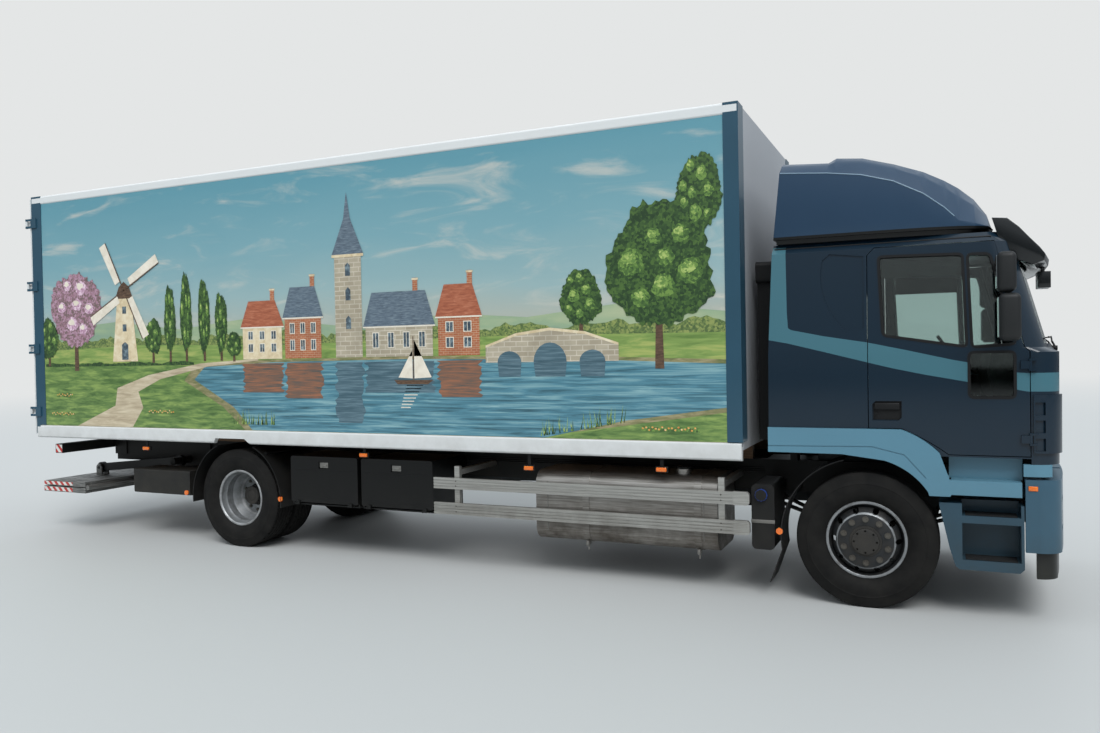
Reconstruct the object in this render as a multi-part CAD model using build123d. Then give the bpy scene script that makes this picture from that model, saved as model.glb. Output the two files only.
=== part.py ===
from build123d import *
import os
from math import atan2, cos, degrees, pi, radians, sin, sqrt

# Decorated removal truck: a rigid two-axle box lorry with a tilting cab.
# X forward, Y to the truck's left, Z up, millimetres. Sizes are measured from the front axle,
# and every piece is moved at the end so that the truck's box is centred on the origin.

# Chassis and axles
wheelbase = 6300.0
front_overhang = 1400.0
tyre_radius = 522.0
tyre_width = 298.0
bead_radius = 286.3
track_front = 2082.0
rail_top = 1030.0
rail_height = 270.0
rail_outer = 432.5
rail_flange = 80.0
rail_wall = 10.0
rail_front = 1120.0
kingpin_y = 870.0
pin_fit = 0.3
steer_clearance = 12.0

# Wheels: section offsets are from the face where the disc is bolted
rim_half = 115.0
wheel_offset = 160.0
hub_bore = 60.0
disc_face = 961.0
wheel_sides = 36
hand_holes = 10
hand_hole_place = 232.0
hand_hole_radius = 22.0

# Box body
box_front = -911.0
box_length = 8464.0
box_width = 2550.0
box_top = 3985.0
side_wall = 30.0
side_inset = 7.0
roof_wall = 40.0
floor_top = 1245.0
floor_wall = 50.0
bearer_height = 55.0
lower_rail_bottom = 1110.0
lower_rail_top = 1260.0
roof_rail_height = 100.0
post_front_width = 124.0
post_rear_width = 165.0
rear_door_wall = 40.0
hinge_standoff = 36.0
hinge_side = 8.0
hinge_radius = 14.0

# Cab
cab_wall = 55.0
cab_floor_bottom = 1190.0
cab_floor_wall = 60.0
door_gap = 6.0
glass_wall = 6.0
glass_inset = 22.0
glass_fit = 0.3
arch_proud = 35.0
panel_depth = 9.0
ear_proud = 16.0
grille_depth = 30.0
crease_depth = 5.0
tilt_x = 1270.0
tilt_z = 990.0
tilt_pin = 12.0
tilt_lug_y = 460.0
engine_half = 335.0

# Bumper and steps
bumper_top = 1040.0
bumper_bottom = 520.0
bumper_wall = 45.0
bumper_rear = 1078.0
step_half_width = 1215.0
step_inner = 930.0

# Side equipment
guard_face = 1222.0
guard_wall = 30.0
toolbox_wall = 14.0
toolbox_face = 1205.0

# Tail lift, folded under the tail
lift_pivot_back = 1600.0
lift_pivot_z = 800.0
platform_pivot_back = 256.0
platform_pivot_z = 674.0
platform_bottom = 454.0
platform_depth = 720.0
tail_beam_back = 202.0
tail_beam_depth = 120.0
lift_arm_y = 600.0
pack_to_tyre = 233.0

box_rear = box_front - box_length
half_box = box_width / 2
rear_axle = -wheelbase
axle_z = tyre_radius
rail_bottom = rail_top - rail_height
front_wheel_y = track_front / 2
rear_contact_y = half_box - 72 - tyre_width / 2 - wheel_offset
rear_hinge_x = box_rear - rear_door_wall - hinge_standoff
rear_hinge_y = half_box + hinge_side
overall_rear = rear_hinge_x - hinge_radius
steer_sphere = sqrt(tyre_radius ** 2 + (front_wheel_y + tyre_width / 2 - kingpin_y) ** 2)


def block(x0, x1, y0, y1, z0, z1):
    """Box from its lowest to its highest corner."""
    return Pos((x0 + x1) / 2, (y0 + y1) / 2, (z0 + z1) / 2) * Box(x1 - x0, y1 - y0, z1 - z0)


def outline(*path):
    """Closed face in its own plane: an entry is a corner, or an arc's (middle, end) pair."""
    edges = Curve()
    here = path[0]
    for step in path[1:] + (path[0],):
        if isinstance(step[0], tuple):
            edges += ThreePointArc(here, step[0], step[1])
            here = step[1]
        elif step != here:
            edges += Line(here, step)
            here = step
    return make_face(edges.edges())


def prism_x(face, x0, x1):
    """Face drawn in (y, z), pushed from x0 to x1."""
    return Pos(x0, 0, 0) * extrude(Plane.YZ * face, x1 - x0)


def prism_y(face, y0, y1):
    """Face drawn in (x, z), pushed from y0 to y1."""
    return Pos(0, y1, 0) * extrude(Plane.XZ * face, y1 - y0)


def prism_z(face, z0, z1):
    """Face drawn in (x, y), pushed from z0 to z1."""
    return Pos(0, 0, z0) * extrude(face, z1 - z0)


def rod_x(y, z, radius, x0, x1):
    return Pos((x0 + x1) / 2, y, z) * Rot(0, 90, 0) * Cylinder(radius, x1 - x0)


def rod_y(x, z, radius, y0, y1):
    return Pos(x, (y0 + y1) / 2, z) * Rot(90, 0, 0) * Cylinder(radius, y1 - y0)


def rod_z(x, y, radius, z0, z1):
    return Pos(x, y, (z0 + z1) / 2) * Cylinder(radius, z1 - z0)


def bar(start, end, width, height):
    """Straight bar between two points of the (x, z) plane at one y, square to the line."""
    (x0, y, z0), (x1, _, z1) = start, end
    length = sqrt((x1 - x0) ** 2 + (z1 - z0) ** 2)
    turn = -degrees(atan2(z1 - z0, x1 - x0))
    return Pos((x0 + x1) / 2, y, (z0 + z1) / 2) * Rot(0, turn, 0) * Box(length, width, height)


def tube_between(start, end, y, radius):
    """Round rod between two points of the (x, z) plane, at one y."""
    (x0, z0), (x1, z1) = start, end
    length = sqrt((x1 - x0) ** 2 + (z1 - z0) ** 2)
    turn = 90 - degrees(atan2(z1 - z0, x1 - x0))
    return Pos((x0 + x1) / 2, y, (z0 + z1) / 2) * Rot(0, turn, 0) * Cylinder(radius, length)


def other_side(shape):
    return mirror(shape, about=Plane.XZ)


def both_sides(shape):
    return shape + other_side(shape)


# Frame: two channel rails, webs outside, with cross-members between them

def frame():
    rail_back = box_rear + tail_beam_back + tail_beam_depth
    rail = block(rail_back, rail_front, rail_outer - rail_flange, rail_outer, rail_bottom, rail_top)
    rail -= block(rail_back - 1, rail_front + 1, rail_outer - rail_flange - 1, rail_outer - rail_wall,
                  rail_bottom + rail_wall, rail_top - rail_wall)
    rails = both_sides(rail)
    member_depth = 60
    inner = rail_outer - rail_wall
    places = (1000, -1330, rear_axle + 3900, rear_axle + 2300, rear_axle + 760, rear_axle - 760,
              rear_axle - 1900, rail_back + 60)
    for x in places:
        web = block(x - member_depth / 2, x + member_depth / 2, -inner, inner,
                    rail_bottom + rail_wall + 40, rail_top - rail_wall)
        web -= block(x - member_depth / 2 - 1, x + member_depth / 2 - rail_wall, -rail_outer + 110,
                     rail_outer - 110, rail_bottom + rail_wall + 50, rail_top - rail_wall - 10)
        rails += web
    rails += both_sides(cab_mounts())
    return rails


def cab_mounts():
    """Left engine foot, rear cab post and the front bracket with the pin that the cab tilts on."""
    inner = rail_outer - rail_wall
    foot = block(-60, 60, engine_half, inner, 800, 880)
    post = block(-660, -600, rail_outer - rail_flange, 520, rail_top, rail_top + 60)
    post += block(-660, -600, 455, 520, rail_top + 60, cab_floor_bottom)
    horn = block(rail_front, tilt_x + 26, rail_outer - rail_flange, rail_outer, 900, tilt_z + 12)
    horn += rod_y(tilt_x, tilt_z, tilt_pin, rail_outer - 5, tilt_lug_y + 26)
    return foot + post + horn


# Running gear

def front_axle():
    """Forged I-beam with a dropped middle and an eye at each kingpin."""
    half = kingpin_y
    profile = outline((-half, axle_z + 50), (-half, axle_z - 50), (-half + 90, axle_z - 50),
                      (-500, axle_z - 150), (500, axle_z - 150), (half - 90, axle_z - 50),
                      (half, axle_z - 50), (half, axle_z + 50), (half - 90, axle_z + 50),
                      (500, axle_z - 40), (-500, axle_z - 40), (-half + 90, axle_z + 50))
    beam = prism_x(profile, -45, 45)
    groove = outline((-half + 130, axle_z + 25), (-half + 130, axle_z - 40), (-505, axle_z - 130),
                     (505, axle_z - 130), (half - 130, axle_z - 40), (half - 130, axle_z + 25),
                     (495, axle_z - 62), (-495, axle_z - 62))
    for side in (-1, 1):
        beam -= prism_x(groove, side * 45 - (30 if side > 0 else 0), side * 45 + (0 if side > 0 else 30))
    for side in (-1, 1):
        y = side * half
        beam += rod_z(0, y, 58, axle_z - 55, axle_z + 55)
        beam -= rod_z(0, y, 24 + pin_fit, axle_z - 60, axle_z + 60)
    return beam


def leaf_spring(y, x_mid, x_front, x_back, eye_z, seat_z, width):
    """Two parabolic leaves curved from eye to eye over the axle seat."""
    leaves = Part()
    for lift, trim in ((0, 0), (24, 110)):
        top = outline((x_back + trim, eye_z + lift), ((x_mid, seat_z + lift), (x_front - trim, eye_z + lift)),
                      (x_front - trim, eye_z + lift + 20),
                      ((x_mid, seat_z + lift + 20), (x_back + trim, eye_z + lift + 20)))
        leaves += prism_y(top, y - width / 2, y + width / 2)
    return leaves


def suspension():
    """Leaf springs in front, trailing arms with air bellows behind, all under the rails."""
    width = 76
    y = rail_outer - rail_flange / 2
    seat = axle_z - 40
    eye = rail_bottom - 75
    spring = leaf_spring(y, 0, 860, -860, eye, seat, width)
    spring += block(-95, 95, y - width / 2, y + width / 2, seat, seat + 90)
    for x in (860, -860):
        spring += rod_y(x, eye + 12, 28, y - width / 2, y + width / 2)
        spring += block(x - 40, x + 40, y - width / 2, y + width / 2, eye + 20, rail_bottom)
    arm_start, arm_end = rear_axle + 720, rear_axle - 480
    arm_z, tail_z = rail_bottom - 130, axle_z - 20
    seat_top = axle_z + 118
    rear = bar((arm_start, y, arm_z), (rear_axle + 80, y, seat_top), 70, 44)
    rear += bar((rear_axle - 70, y, seat_top), (arm_end + 60, y, tail_z), 70, 44)
    rear += block(rear_axle - 75, rear_axle + 85, y - 35, y + 35, axle_z + 30, seat_top + 22)
    rear -= rod_y(rear_axle, axle_z, 75, y - 40, y + 40)
    rear += rod_y(arm_start, arm_z, 40, y - 35, y + 35)
    rear += block(arm_start - 60, arm_start + 60, y - 35, y + 35, arm_z + 20, rail_bottom)
    rear += block(arm_end - 70, arm_end + 90, y - 35, y + 35, tail_z - 25, tail_z + 35)
    rear += rod_z(arm_end, y, 118, tail_z + 35, tail_z + 70)
    rear += rod_z(arm_end, y, 105, tail_z + 70, rail_bottom - 30)
    rear += rod_z(arm_end, y, 118, rail_bottom - 60, rail_bottom)
    return both_sides(spring) + both_sides(rear)


def rear_axle_piece():
    """Driven axle: banjo housing with a nose for the shaft and a tube to each hub."""
    tube_end = rear_contact_y + 60
    axle = rod_y(rear_axle, axle_z, 75, -rear_contact_y + 190, rear_contact_y - 190)
    for side in (-1, 1):
        lo, hi = sorted((side * (rear_contact_y - 190), side * tube_end))
        axle += rod_y(rear_axle, axle_z, hub_bore - pin_fit, lo, hi)
    axle += rod_y(rear_axle, axle_z, 215, -95, 95)
    axle += rod_x(0, axle_z, 150, rear_axle, rear_axle + 290)
    axle += rod_x(0, axle_z, 70, rear_axle + 290, rear_axle + 340)
    return axle


def engine():
    return block(-450, 780, -engine_half, engine_half, 640, 1450)


def driveline():
    """Gearbox behind the engine and the two-piece shaft to the rear axle."""
    box = block(-1000, -450, -210, 210, 640, 1000) + block(-1240, -1000, -140, 140, 660, 900)
    box -= block(-1001, -930, -211, 211, 930, 1001)
    gearbox_z, axle_nose = 760, rear_axle + 340 + pin_fit
    middle = (axle_nose - 1240) / 2
    shaft = tube_between((-1240, gearbox_z), (middle, gearbox_z - 50), 0, 50)
    shaft += tube_between((middle, gearbox_z - 50), (axle_nose + 50, axle_z), 0, 50)
    shaft += rod_x(0, axle_z, 62, axle_nose, axle_nose + 60)
    shaft += rod_y(middle, gearbox_z - 50, 75, -30, 30)
    return box + shaft


# Wheels: stations are (offset along the axle, radius) from the disc's bolting face

def drum(x, y, *stations):
    """Many-sided drum about a wheel's axle, through stations in order, with a flat at the bottom."""
    rings = []
    for offset, radius in stations:
        reach = radius / cos(pi / wheel_sides)
        turns = [2 * pi * (index + 0.5) / wheel_sides for index in range(wheel_sides)]
        rings.append([Vector(x + reach * cos(turn), y + offset, axle_z + reach * sin(turn))
                      for turn in turns])
    outlines = [rings[0], rings[-1]]
    for ring, following in zip(rings, rings[1:]):
        for index in range(wheel_sides):
            outlines.append([ring[index - 1], ring[index], following[index], following[index - 1]])
    return Solid(Shell([Face(Wire.make_polygon(outline)) for outline in outlines]))


def rim(x, y):
    """Steel rim that opens inwards, with its disc at y and a ring of hand holes."""
    far = -wheel_offset - rim_half
    near = -wheel_offset + rim_half
    wheel = drum(x, y, (far, 298), (far + 12, 298))
    wheel += drum(x, y, (far + 12, 286), (far + 50, 284), (far + 75, 270), (near - 65, 270),
                  (near - 45, 284), (near - 12, 286))
    wheel += drum(x, y, (near - 12, 298), (near, 298))
    wheel -= drum(x, y, (far - 1, 281), (far + 9, 272), (far + 55, 270), (far + 75, 257), (-90, 257),
                  (near - 9, 268), (near + 1, 281))
    disc = drum(x, y, (-112, 258), (-90, 257.5), (-40, 238), (0, 205))
    disc -= drum(x, y, (-113, 250), (-105, 250), (-52, 226), (-12, 198))
    for index in range(hand_holes):
        turn = radians(360 / hand_holes * index)
        place = Pos(x + hand_hole_place * cos(turn), y + 20, axle_z + hand_hole_place * sin(turn))
        disc -= extrude(place * Rot(90, 0, 0) * RegularPolygon(hand_hole_radius, 8), 120)
    return wheel + disc


def tyre(x, y):
    """Road tyre with bulged side walls, seated between the rim's flanges."""
    half = tyre_width / 2
    seat = rim_half - 16
    shoulder = half - 21
    body = drum(x, y, (-half, 395), (-shoulder, tyre_radius - 16), (-shoulder + 14, tyre_radius),
                (shoulder - 14, tyre_radius), (shoulder, tyre_radius - 16), (half, 395))
    body -= drum(x, y, (-half - 1, bead_radius), (half + 1, bead_radius))
    body -= drum(x, y, (seat + 1, 301), (half + 1, 397))
    body -= drum(x, y, (-half - 1, 397), (-seat - 1, 301))
    return body


def front_rim():
    """Left front wheel: rim, hub with its cap and the brake disc behind it."""
    y = front_wheel_y + wheel_offset
    brake = disc_face - y
    hub = drum(0, y, (brake, 215), (brake + 42, 215)) + drum(0, y, (brake + 42, 110), (-34, 110))
    hub += drum(0, y, (-60, 138), (2, 138)) + drum(0, y, (-34, 188), (-12, 188))
    hub += drum(0, y, (2, 82), (34, 76))
    hub -= rod_y(0, axle_z, 42 + pin_fit, disc_face - 1, y - 60)
    return rim(0, y) + hub


def rear_rims():
    """Left twin wheel: two rims face to face on one hub."""
    y = rear_contact_y
    x = rear_axle
    wheel = rim(x, y) + mirror(rim(x, y), about=Plane.XZ.offset(-y))
    hub = drum(x, y, (-250, 200), (-120, 200)) + drum(x, y, (-120, 138), (24, 138))
    hub += drum(x, y, (-34, 188), (-12, 188)) + drum(x, y, (24, 100), (120, 92))
    bores = rod_y(x, axle_z, hub_bore, y - 251, y + 62) + rod_y(x, axle_z, 180, y - 251, y - 135)
    return wheel + hub - bores


def rear_tyres():
    return tyre(rear_axle, rear_contact_y - wheel_offset) + tyre(rear_axle, rear_contact_y + wheel_offset)


# Steering

arm_back = 200.0
tie_rod_z = 372.0


def knuckle():
    """Left knuckle: fork on the kingpin, spindle, brake caliper and rear steering arm."""
    spindle_end = front_wheel_y + wheel_offset - 62
    ear_gap = 55 + 1
    fork = Part()
    for z0, z1 in ((axle_z + ear_gap, axle_z + ear_gap + 48), (axle_z - ear_gap - 48, axle_z - ear_gap)):
        fork += rod_z(0, kingpin_y, 60, z0, z1)
        fork += block(-50, 50, kingpin_y, kingpin_y + 50, z0, z1)
    fork += rod_z(0, kingpin_y, 24, axle_z - ear_gap - 20, axle_z + ear_gap + 20)
    fork += block(-60, 60, kingpin_y + 62, disc_face - 6, axle_z - ear_gap - 48, axle_z + ear_gap + 48)
    for z0, z1 in ((axle_z + ear_gap, axle_z + ear_gap + 48), (axle_z - ear_gap - 48, axle_z - ear_gap)):
        fork += block(-50, 50, kingpin_y + 40, kingpin_y + 70, z0, z1)
    fork += rod_y(0, axle_z, 42, kingpin_y + 70, spindle_end)
    saddle = block(-236, -50, disc_face - 28, disc_face - 6, axle_z - 66, axle_z + 66)
    saddle += block(-236, -218, disc_face - 28, disc_face + 62, axle_z - 66, axle_z + 66)
    fork += saddle & rod_y(0, axle_z, 246, disc_face - 60, disc_face + 80)
    arm = block(-arm_back, -30, kingpin_y - 28, kingpin_y + 28, axle_z - 104, axle_z - 80)
    arm += rod_z(-arm_back, kingpin_y, 28, axle_z - 104, axle_z - 80)
    arm += rod_z(-arm_back, kingpin_y, 12, tie_rod_z - 20, axle_z - 80)
    return fork + arm


def tie_rod():
    """Rod that joins both steering arms and stays square to the truck."""
    end = kingpin_y
    rod = rod_y(-arm_back, tie_rod_z, 19, -end + 20, end - 20)
    for y in (-end, end):
        rod += rod_z(-arm_back, y, 30, tie_rod_z - 22, tie_rod_z + 22)
        rod -= rod_z(-arm_back, y, 12 + pin_fit, tie_rod_z - 30, tie_rod_z + 30)
    return rod


# Tanks, boxes and guards beside the frame

def rounded_bar(x0, x1, y0, y1, z0, z1, corner):
    """Long body with its four long edges rounded."""
    body = block(x0, x1, y0, y1, z0, z1)
    return fillet(body.edges().filter_by(Axis.X), corner)


tank_back, tank_front = box_front - 1889, box_front - 239
tank_inner, tank_outer = 520.0, 1166.0
tank_bottom, tank_top = 330.0, 950.0


def fuel_tank():
    """Right-hand fuel tank with two straps, held on the rail by brackets."""
    body = rounded_bar(tank_back, tank_front, tank_inner, tank_outer, tank_bottom, tank_top, 120)
    for x in (tank_back + 483, tank_front - 167):
        body += rounded_bar(x - 30, x + 30, tank_inner - 5, tank_outer + 5, tank_bottom - 5,
                            tank_top + 5, 124)
        body += block(x - 35, x + 35, rail_outer, tank_inner + 130, rail_bottom + 20, tank_top - 90)
        body += block(x - 35, x + 35, rail_outer, tank_inner + 20, tank_bottom + 30, rail_bottom + 40)
    body += rod_z(tank_front - 330, tank_outer - 190, 62, tank_top - 10, tank_top + 45)
    return other_side(body)


def additive_tank():
    """Black tank with a blue cap behind the right front wheel."""
    back, front = -875, -692
    body = block(back, front, 640, 1150, 386, 914)
    body = fillet(body.edges().filter_by(Axis.Y), 40)
    body += block(back + 20, front - 20, rail_outer, 660, rail_bottom + 20, rail_bottom + 110)
    body += rod_y(front - 100, 830, 45, 1149, 1185)
    return other_side(body)


def battery_box():
    """Left-hand battery tray with its lid, and two air tanks behind it."""
    body = block(-1800, -1160, 600, 1160, 420, 930)
    body = fillet(body.edges().filter_by(Axis.X), 25)
    body += block(-1790, -1170, rail_outer, 620, rail_bottom + 20, rail_bottom + 90)
    tanks = Part()
    for y in (700, 1000):
        tanks += rod_x(y, 620, 138, -2900, -1980)
    for x in (-2700, -2180):
        tanks += block(x - 25, x + 25, rail_outer, 1090, rail_bottom - 4, rail_bottom + 30)
    return body + tanks


guard_back, guard_front = rear_axle + 2455, box_front - 98
upper_guard = (750.0, 854.0)
lower_guard = (510.0, 620.0)
guard_cap = 132.0
guard_posts = (guard_back + 239, guard_front - 101)


def side_guards():
    """Two ribbed rails a side on two posts, each post on an arm from the frame."""
    guards = Part()
    for z0, z1 in (upper_guard, lower_guard):
        rail = block(guard_back, guard_front, guard_face - guard_wall, guard_face, z0, z1)
        ribs = 4
        pitch = (z1 - z0) / ribs
        for index in range(1, ribs):
            z = z0 + index * pitch
            rail -= block(guard_back - 1, guard_front + 1, guard_face - 6, guard_face + 1, z - 4, z + 4)
        cap = block(guard_front, guard_front + guard_cap, guard_face - guard_wall - 4, guard_face + 2,
                    z0 - 3, z1 + 3)
        guards += rail + fillet(cap.edges().filter_by(Axis.Y).sort_by(Axis.X)[-2:], 30)
    for x in guard_posts:
        post = block(x - 26, x + 26, guard_face - guard_wall - 44, guard_face - guard_wall,
                     lower_guard[0] - 5, 962)
        arm = block(x - 26, x + 26, rail_outer, guard_face - guard_wall - 20, 880, 930)
        guards += post + arm
    return both_sides(guards)


TOOLBOXES = {"rear": (rear_axle + 729, rear_axle + 1564), "front": (rear_axle + 1610, rear_axle + 2435)}
toolbox_bottom, toolbox_top = 500.0, 1000.0
toolbox_depth = 560.0
lid_wall = 26.0


def toolboxes():
    """Two black boxes under the right side, open at the face that the lid closes."""
    boxes = Part()
    for x0, x1 in TOOLBOXES.values():
        face = toolbox_face - lid_wall - 1
        shell = block(x0, x1, toolbox_face - toolbox_depth, face, toolbox_bottom, toolbox_top)
        shell -= block(x0 + toolbox_wall, x1 - toolbox_wall, toolbox_face - toolbox_depth + toolbox_wall,
                       face + 1, toolbox_bottom + toolbox_wall, toolbox_top - toolbox_wall)
        for x in (x0 + 90, x1 - 90):
            shell += block(x - 25, x + 25, rail_outer, toolbox_face - toolbox_depth, 870, 940)
            shell += lid_hinge(x, face)
        boxes += shell
    return other_side(boxes)


lid_hinge_z = toolbox_bottom + 16.0


def lid_hinge(x, face):
    """Fixed half of a lid's hinge: a lug below the face with a pin along X."""
    lug = block(x - 30, x - 16, face - 4, toolbox_face + 12, lid_hinge_z - 12, lid_hinge_z + 12)
    pin = rod_x(toolbox_face + 4, lid_hinge_z, 5, x - 30, x + 22)
    return lug + pin


def toolbox_door(place):
    """Lid hinged along its lower edge, with a recessed latch in the middle."""
    x0, x1 = TOOLBOXES[place]
    lid = block(x0, x1, toolbox_face - lid_wall, toolbox_face, lid_hinge_z + 14, toolbox_top)
    lid = fillet(lid.edges().filter_by(Axis.Y), 24)
    lid -= block((x0 + x1) / 2 - 60, (x0 + x1) / 2 + 60, toolbox_face - 12, toolbox_face + 1,
                 toolbox_top - 120, toolbox_top - 50)
    for x in (x0 + 90, x1 - 90):
        lid += block(x - 14, x + 22, toolbox_face - 8, toolbox_face + 12, lid_hinge_z - 10, lid_hinge_z + 30)
        lid -= rod_x(toolbox_face + 4, lid_hinge_z, 5 + pin_fit, x - 40, x + 40)
    return other_side(lid)


def arc_band(x, radius, wall, start, end):
    """Curved plate about an axle, between two angles from straight ahead."""
    def at(r, angle):
        return (x + r * cos(radians(angle)), axle_z + r * sin(radians(angle)))
    middle = (start + end) / 2
    return outline(at(radius, start), (at(radius, middle), at(radius, end)), at(radius + wall, end),
                   (at(radius + wall, middle), at(radius + wall, start)))


def mudguards():
    """Quarter guard behind each front wheel, and two quarters over each twin wheel."""
    inner, wall = steer_sphere + 18, 8
    start, middle, end = radians(104), radians(147), radians(190)
    side = prism_y(outline((inner * cos(start), axle_z + inner * sin(start)),
                           ((inner * cos(middle), axle_z + inner * sin(middle)),
                            (inner * cos(end), axle_z + inner * sin(end))),
                           (-718, 140), (-718 - wall, 140),
                           ((inner + wall) * cos(end), axle_z + (inner + wall) * sin(end)),
                           (((inner + wall) * cos(middle), axle_z + (inner + wall) * sin(middle)),
                            ((inner + wall) * cos(start), axle_z + (inner + wall) * sin(start)))),
                   kingpin_y - 20, 1205)
    stay = radians(155)
    stay_x, stay_z = (inner + 16) * cos(stay), axle_z + (inner + 16) * sin(stay)
    side += rod_y(stay_x, stay_z, 14, rail_outer, kingpin_y + 200)
    for start, end in ((-6, 66), (114, 186)):
        side += prism_y(arc_band(rear_axle, 604, wall, start, end), 552, 1236)
    for angle in (52, 128):
        x = rear_axle + 622 * cos(radians(angle))
        side += rod_y(x, axle_z + 622 * sin(radians(angle)), 14, rail_outer, 1190)
    return both_sides(side)


# Bumper, steps and lamps

def bumper_plan(inset):
    """Level outline of the bumper, bowed at the front with a rounded corner."""
    half = step_half_width - inset
    corner = 150 - inset / 2
    side_front = front_overhang - 82 - inset
    slack = corner * (1 - sqrt(0.5))
    return outline((bumper_rear - 1, -half), (side_front - corner, -half),
                   ((side_front - slack, -half + slack), (side_front, -half + corner)),
                   ((front_overhang - inset, 0), (side_front, half - corner)),
                   ((side_front - slack, half - slack), (side_front - corner, half)),
                   (bumper_rear - 1, half))


LAMP_Y = (700.0, 1080.0)
LAMP_Z = (660.0, 900.0)


def bumper():
    """Wrap-round bumper shell with lamp pockets, air slots and the black dam below."""
    shell = prism_z(bumper_plan(0), bumper_bottom, bumper_top)
    shell -= prism_z(bumper_plan(bumper_wall), bumper_bottom - 1, bumper_top - 30)
    shell -= block(bumper_rear - 50, bumper_rear, -1300, 1300, 0, 1200)
    shell -= block(bumper_rear - 1, 1215, -1100, 1100, bumper_top - 60, bumper_top + 1)
    for side in (-1, 1):
        lo, hi = sorted((side * LAMP_Y[0], side * LAMP_Y[1]))
        shell -= block(1190, 1500, lo, hi, *LAMP_Z)
        lo, hi = sorted((side * (tilt_lug_y - 30), side * (tilt_lug_y + 30)))
        shell -= block(1200, tilt_x + 102, lo, hi, bumper_top - 31, bumper_top + 1)
    for z in (590, 655, 720):
        shell -= block(1250, 1500, -520, 520, z - 22, z + 22)
    dam = prism_z(bumper_plan(28), 330, bumper_bottom)
    dam -= prism_z(bumper_plan(28 + bumper_wall), 329, bumper_bottom + 1)
    dam -= block(bumper_rear - 50, bumper_rear + 70, -1300, 1300, 300, 600)
    bracket = block(rail_front - 60, 1352, rail_outer - rail_flange, rail_outer - rail_wall, 790, 870)
    return shell + dam + both_sides(bracket)


def lamps():
    """Headlamps in the bumper's pockets, and tail lamps on the underrun beam."""
    pieces = Part()
    front = prism_z(bumper_plan(3), 0, 1500)
    lens = block(1200, 1500, *LAMP_Y, *LAMP_Z) & front
    pieces += both_sides(lens)
    tail = block(box_rear + tail_beam_back - 70, box_rear + tail_beam_back, 830, 1150, 925, 1019)
    pieces += both_sides(tail)
    return pieces


STEP_TREADS = ((438.0, 708.0), (762.0, 880.0))


def steps():
    """Moulded step box on each side, with two treads cut in and the wheel's swing cut away."""
    side = prism_y(outline((517, 850), (517, 827), (583, 518), (622, 385), (650, 365), (1040, 365),
                           (1070, 395), (1070, 850)), step_inner, step_half_width)
    for z0, z1 in STEP_TREADS:
        side -= block(668, 1050, step_inner + 70, step_half_width + 1, z0, z1)
    swing = Pos(0, kingpin_y, axle_z) * Sphere(steer_sphere + steer_clearance)
    side -= swing
    side += block(660, 1060, rail_outer, step_inner + 20, 560, 640)
    side += block(700, 1000, rail_outer, rail_outer + 30, 560, rail_bottom + 120)
    return both_sides(side)


# Cab: level outlines, from the sill to the roof

# columns: height, rear wall, half width, front at the corner, front at the middle, corner radius
CAB_LEVELS = (
    (1150.0, -718.0, 1215.0, 1308.0, 1358.0, 172.0),
    (1950.0, -712.0, 1212.0, 1312.0, 1368.0, 172.0),
    (1985.0, -711.0, 1211.0, 1228.0, 1345.0, 170.0),
    (2755.0, -680.0, 1176.0, 1024.0, 1140.0, 160.0),
    (2830.0, -672.0, 1120.0, 960.0, 1060.0, 140.0),
)


def cab_section(level, inset):
    z, rear, half, side_front, centre, corner = level
    half, rear = half - inset, rear + inset
    side_front, centre = side_front - inset, centre - inset
    corner = corner - inset / 2
    slack = corner * (1 - sqrt(0.5))
    face = outline((rear, -half), (side_front - corner, -half),
                   ((side_front - slack, -half + slack), (side_front, -half + corner)),
                   ((centre, 0), (side_front, half - corner)),
                   ((side_front - slack, half - slack), (side_front - corner, half)), (rear, half))
    return Pos(0, 0, z) * face


def cab_volume(inset, bottom=0.0, top=0.0):
    """Solid inside the cab's skin, drawn in by the inset, from level to level."""
    levels = [list(level) for level in CAB_LEVELS]
    levels[0][0] += bottom
    levels[-1][0] -= top
    faces = [cab_section(tuple(level), inset) for level in levels]
    volume = Part()
    for low, high in zip(faces, faces[1:]):
        volume += loft([low, high], ruled=True)
    return volume


door_rear = 35.0
door_front = 1112.0
door_top = 2756.0
door_sill = 1207.0
front_panel_x = 1118.0


def door_outline(grow):
    """Side outline of a cab door, with its lower rear corner cut round the wheel arch."""
    g = grow
    return outline((door_rear - g, 1392 - g), (door_rear - g, door_top - 50),
                   (door_rear + 50, door_top + g), (900, door_top + g), (1078 + g, 1990),
                   (door_front + g, 1955), (door_front + g, door_sill - g), (585, door_sill - g),
                   ((430, 1310 - g), (262, 1392 - g)))


def main_window(grow):
    g = grow
    return outline((140 - g, 2092 - g), (112 - g, 2680), (132, 2692 + g), (672, 2676 + g),
                   (690 + g, 2660), (712 + g, 1996 - g))


def quarter_window(grow):
    g = grow
    return outline((746 - g, 1990 - g), (722 - g, 2672 + g), (850, 2668 + g), (872 + g, 2650),
                   (1028 + g, 2010 - g))


def kerb_window(grow):
    g = grow
    return outline((725 - g, 1640), (740, 1625 - g), (1005, 1625 - g), (1021 + g, 1640), (1021 + g, 1955 + g),
                   (725 - g, 1955 + g))


def windscreen_outline(grow):
    """Front view of the screen, drawn in (y, z)."""
    g = grow
    return outline((-1085 - g, 2010 - g), (1085 + g, 2010 - g), (1020 + g, 2700 + g), (-1020 - g, 2700 + g))


def side_panel():
    """Side outline of the panel pressed into the cab's side behind the door."""
    return outline((-239, 2731), (5, 2700), (5, 2150), (-141, 2150), ((-262, 2330), (-295, 2686)))


def handle_well():
    return outline((60, 1449), (60, 1572), (85, 1597), (269, 1597), (269, 1474), (244, 1449))


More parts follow.
